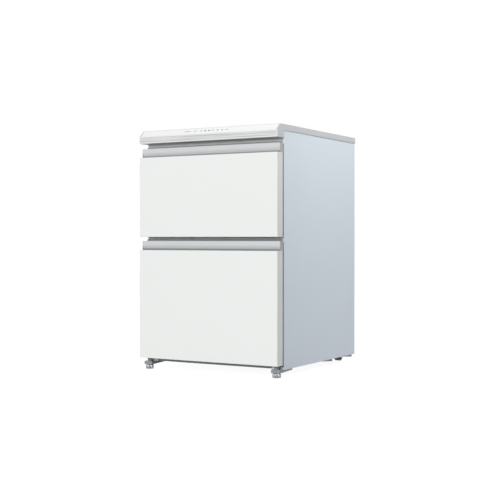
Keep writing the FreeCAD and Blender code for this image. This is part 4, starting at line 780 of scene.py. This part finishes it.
def make_floor():
    """Pale floor that looks white and keeps a soft shadow."""
    mesh = bmesh.new()
    bmesh.ops.create_grid(mesh, x_segments=FLOOR_CELLS, y_segments=FLOOR_CELLS, size=FLOOR_HALF)
    data = bpy.data.meshes.new("Floor")
    mesh.to_mesh(data)
    mesh.free()
    material = bpy.data.materials.new("Pale floor")
    material.use_nodes = True
    tree = material.node_tree
    tree.nodes.clear()
    shade = add_node(tree, "BsdfDiffuse", {"Color": linear(FLOOR_SEEN)})
    glow = add_node(tree, "Emission", {"Strength": FLOOR_GLOW})
    bright = add_node(tree, "AddShader", {0: shade.outputs[0], 1: glow.outputs[0]})
    real = add_node(tree, "BsdfDiffuse", {"Color": linear(FLOOR_LIGHT)})
    both = add_node(tree, "MixShader", {0: seen_directly(tree), 1: real.outputs[0], 2: bright.outputs[0]})
    add_node(tree, "OutputMaterial", {"Surface": both.outputs[0]})
    data.materials.append(material)
    floor = bpy.data.objects.new("Floor", data)
    bpy.context.scene.collection.objects.link(floor)


def make_sky(scene, stage):
    """White background, and even light of its own level."""
    world = bpy.data.worlds.new("Studio")
    world.use_nodes = True
    tree = world.node_tree
    tree.nodes.clear()
    even = add_node(tree, "Background", {"Strength": stage.sky})
    white = add_node(tree, "Background", {"Strength": 1.0})
    for light in (even, white):
        light.inputs["Color"].default_value = (1, 1, 1, 1)
    both = add_node(tree, "MixShader", {0: seen_directly(tree), 1: even.outputs[0], 2: white.outputs[0]})
    add_node(tree, "OutputWorld", {"Surface": both.outputs[0]})
    scene.world = world


def softbox(name, place, aim, size, power):
    """Soft light of that width and length that faces a point."""
    light = bpy.data.lights.new(name, "AREA")
    light.shape = "RECTANGLE"
    light.size, light.size_y = size
    light.energy = power
    item = bpy.data.objects.new(name, light)
    item.location = place
    item.rotation_euler = (Vector(aim) - Vector(place)).to_track_quat("-Z", "Y").to_euler()
    item.visible_camera = False
    bpy.context.scene.collection.objects.link(item)


def make_camera(scene, stage):
    """Level camera with a shifted lens, so that upright edges stay upright."""
    lens = bpy.data.cameras.new("Camera")
    lens.lens = stage.lens
    lens.sensor_width = SENSOR_WIDTH
    lens.shift_y = stage.shift
    camera = bpy.data.objects.new("Camera", lens)
    camera.location = stage.camera_place
    camera.rotation_euler = (math.pi / 2, 0, stage.camera_turn)
    scene.collection.objects.link(camera)
    scene.camera = camera


# Operators


class FREEZER_OT_finishes(bpy.types.Operator):
    """Make the materials"""

    bl_idname = "freezer.finishes"
    bl_label = "Finishes"

    def execute(self, context):
        make_finishes(context.scene.freezer_colours)
        return {"FINISHED"}


class FREEZER_OT_cabinet(bpy.types.Operator):
    """Dress the steel cabinet, its foam and its liners"""

    bl_idname = "freezer.cabinet"
    bl_label = "Cabinet"

    def execute(self, context):
        edge = context.scene.freezer_sizes.edge
        dress(["outer_shell", "front_crossbar"], "Powder-coated steel", edge)
        dress(["insulation"], "Rigid polyurethane foam")
        dress(["upper_liner", "lower_liner"], "Gloss polystyrene", edge)
        return {"FINISHED"}


class FREEZER_OT_top(bpy.types.Operator):
    """Dress the top cover and the control strip, and print its marks"""

    bl_idname = "freezer.top"
    bl_label = "Top and controls"

    def execute(self, context):
        sizes = context.scene.freezer_sizes
        dress(["top_cover", "housing_floor"], "Grained ABS", 3 * sizes.edge)
        dress(["control_panel"], "Polycarbonate strip", sizes.edge)
        dress(["front_trim"], "Hairline film on ABS", sizes.edge)
        dress(["control_board"], "Glass-epoxy laminate")
        control_marks(sizes)
        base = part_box("housing_floor")[0]
        places = [(x, HOUSING_SCREWS_Y, base.z / MM) for x in HOUSING_SCREWS_X]
        screws("housing_screws", places, -UP, sizes, "cabinet", scale=0.9, finish="Grained ABS")
        return {"FINISHED"}


class FREEZER_OT_fronts(bpy.types.Operator):
    """Dress the drawer fronts with their grips, seals, grey strips and lips of painted shade, and stops"""

    bl_idname = "freezer.fronts"
    bl_label = "Drawer fronts"

    def execute(self, context):
        edge = context.scene.freezer_sizes.edge
        for drawer in DRAWERS:
            dress([f"{drawer}_front_panel"], "Gloss-painted steel", edge)
            dress([f"{drawer}_grip"], "Satin ABS", 2 * edge)
            dress([f"{drawer}_front_core"], "Rigid polyurethane foam")
            dress([f"{drawer}_inner_panel"], "Gloss polystyrene", edge)
            shading_lip(drawer)
            seal_frame(drawer)
            groove_shade_strip(drawer)
        front_bumpers()
        return {"FINISHED"}


class FREEZER_OT_runners(bpy.types.Operator):
    """Dress the runners and the arms, and screw the arms to the fronts"""

    bl_idname = "freezer.runners"
    bl_label = "Runners"

    def execute(self, context):
        sizes = context.scene.freezer_sizes
        for drawer in DRAWERS:
            names = [f"{drawer}_{part}" for part in ("outer_rails", "middle_rails", "inner_rails", "arms")]
            dress(names, "Zinc-plated steel", sizes.edge)
            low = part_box(f"{drawer}_arms")[0]
            tab = low.y / MM + ARM_GAUGE
            heights = [low.z / MM + rise for rise in ARM_SCREW_RISES]
            places = [(side * ARM_SCREW_X, tab, z) for side in SIDES for z in heights]
            screws(f"{drawer}_arm_screws", places, BACK, sizes, f"{drawer}_drawer", scale=0.9)
        return {"FINISHED"}


class FREEZER_OT_bins(bpy.types.Operator):
    """Dress the bins, and rib their floors and walls"""

    bl_idname = "freezer.bins"
    bl_label = "Bins"

    def execute(self, context):
        sizes = context.scene.freezer_sizes
        for drawer in DRAWERS:
            dress([f"{drawer}_bin"], "Frosted polystyrene", 2 * sizes.edge)
            bin_ribs(drawer, sizes)
        return {"FINISHED"}


class FREEZER_OT_cooling(bpy.types.Operator):
    """Dress the air circuit behind the upper bin"""

    bl_idname = "freezer.cooling"
    bl_label = "Air circuit"

    def execute(self, context):
        sizes = context.scene.freezer_sizes
        dress(["evaporator_cover"], "Gloss polystyrene", sizes.edge)
        dress(["evaporator_coil", "evaporator_caps", "evaporator_fins", "drain_trough"],
              "Mill-finish aluminium")
        dress(["defrost_heater"], "Zinc-plated steel")
        dress(["drain_tube", "fan_shroud", "fan_rotor"], "Black ABS")
        dress(["fan_motor"], "Galvanised sheet")
        low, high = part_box("evaporator_cover")
        heights = (low.z / MM + COVER_SCREW_INSET, high.z / MM - COVER_SCREW_INSET)
        places = [(side * COVER_SCREW_X, low.y / MM, z) for side in SIDES for z in heights]
        screws("evaporator_screws", places, -BACK, sizes, "cabinet", scale=1.2)
        outlet_bezel()
        return {"FINISHED"}


class FREEZER_OT_machine(bpy.types.Operator):
    """Dress the compressor and what stands round it"""

    bl_idname = "freezer.machine"
    bl_label = "Machine compartment"

    def execute(self, context):
        dress(["compressor"], "Stoved black enamel")
        dress(["compressor_mounts"], "Black rubber")
        dress(["terminal_cover", "drip_tray"], "Black ABS", context.scene.freezer_sizes.edge)
        return {"FINISHED"}


class FREEZER_OT_back(bpy.types.Operator):
    """Dress the back with its louvres and screws"""

    bl_idname = "freezer.back"
    bl_label = "Back"

    def execute(self, context):
        sizes = context.scene.freezer_sizes
        dress(["rear_panel", "machine_cover"], "Galvanised sheet", sizes.edge)
        dress(["mains_gland"], "Black ABS", sizes.edge)
        louvre_hoods(sizes)
        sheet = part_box("machine_cover")[1].y / MM
        places = [(side * BACK_EDGE_X, sheet, z) for side in SIDES for z in BACK_EDGE_HEIGHTS]
        places += [(side * BACK_JOINT_X, sheet, z) for side in SIDES for z in BACK_JOINT_HEIGHTS]
        screws("back_screws", places, BACK, sizes, "cabinet")
        return {"FINISHED"}


class FREEZER_OT_base(bpy.types.Operator):
    """Dress the base with its brackets, feet and rollers"""

    bl_idname = "freezer.base"
    bl_label = "Base"

    def execute(self, context):
        sizes = context.scene.freezer_sizes
        dress(["base_panel", "base_tray"], "Phosphated steel", sizes.edge)
        dress(["foot_brackets"], "Stoved grey paint", sizes.edge)
        dress(["roller_axles"], "Zinc-plated steel")
        dress(["left_roller", "right_roller"], "Natural nylon", 2 * sizes.edge)
        for side in ("left", "right"):
            levelling_foot(side, sizes)
        return {"FINISHED"}


class FREEZER_OT_stage(bpy.types.Operator):
    """Set up the floor, the light and the camera"""

    bl_idname = "freezer.stage"
    bl_label = "Stage"

    def execute(self, context):
        scene = context.scene
        stage = scene.freezer_stage
        make_floor()
        make_sky(scene, stage)
        for name, place, aim, size, power in LAMPS:
            softbox(name, place, aim, size, getattr(stage, power))
        make_camera(scene, stage)
        scene.view_settings.view_transform = "Standard"
        return {"FINISHED"}


STEPS = (FREEZER_OT_finishes, FREEZER_OT_cabinet, FREEZER_OT_top, FREEZER_OT_fronts, FREEZER_OT_runners,
         FREEZER_OT_bins, FREEZER_OT_cooling, FREEZER_OT_machine, FREEZER_OT_back, FREEZER_OT_base,
         FREEZER_OT_stage)


class FREEZER_PT_panel(bpy.types.Panel):
    """Sizes, colours and steps of the freezer"""

    bl_idname = "FREEZER_PT_panel"
    bl_label = "Drawer freezer"
    bl_space_type = "VIEW_3D"
    bl_region_type = "UI"
    bl_category = "Freezer"

    def draw(self, context):
        scene = context.scene
        for group in (scene.freezer_colours, scene.freezer_sizes, scene.freezer_stage):
            box = self.layout.box()
            for name in group.__annotations__:
                box.prop(group, name)
        for step in STEPS:
            self.layout.operator(step.bl_idname)


GROUPS = {"freezer_colours": FreezerColours, "freezer_sizes": FreezerSizes, "freezer_stage": FreezerStage}


def register():
    """Adds the settings, the steps and the panel."""
    for kind in (*GROUPS.values(), *STEPS, FREEZER_PT_panel):
        bpy.utils.register_class(kind)
    for name, kind in GROUPS.items():
        setattr(bpy.types.Scene, name, PointerProperty(type=kind))


def unregister():
    """Takes them away again."""
    for name in GROUPS:
        delattr(bpy.types.Scene, name)
    for kind in reversed((*GROUPS.values(), *STEPS, FREEZER_PT_panel)):
        bpy.utils.unregister_class(kind)


def main():
    """Runs each step in order."""
    register()
    bpy.ops.freezer.finishes()
    bpy.ops.freezer.cabinet()
    bpy.ops.freezer.top()
    bpy.ops.freezer.fronts()
    bpy.ops.freezer.runners()
    bpy.ops.freezer.bins()
    bpy.ops.freezer.cooling()
    bpy.ops.freezer.machine()
    bpy.ops.freezer.back()
    bpy.ops.freezer.base()
    bpy.ops.freezer.stage()


if __name__ == "__main__":
    main()
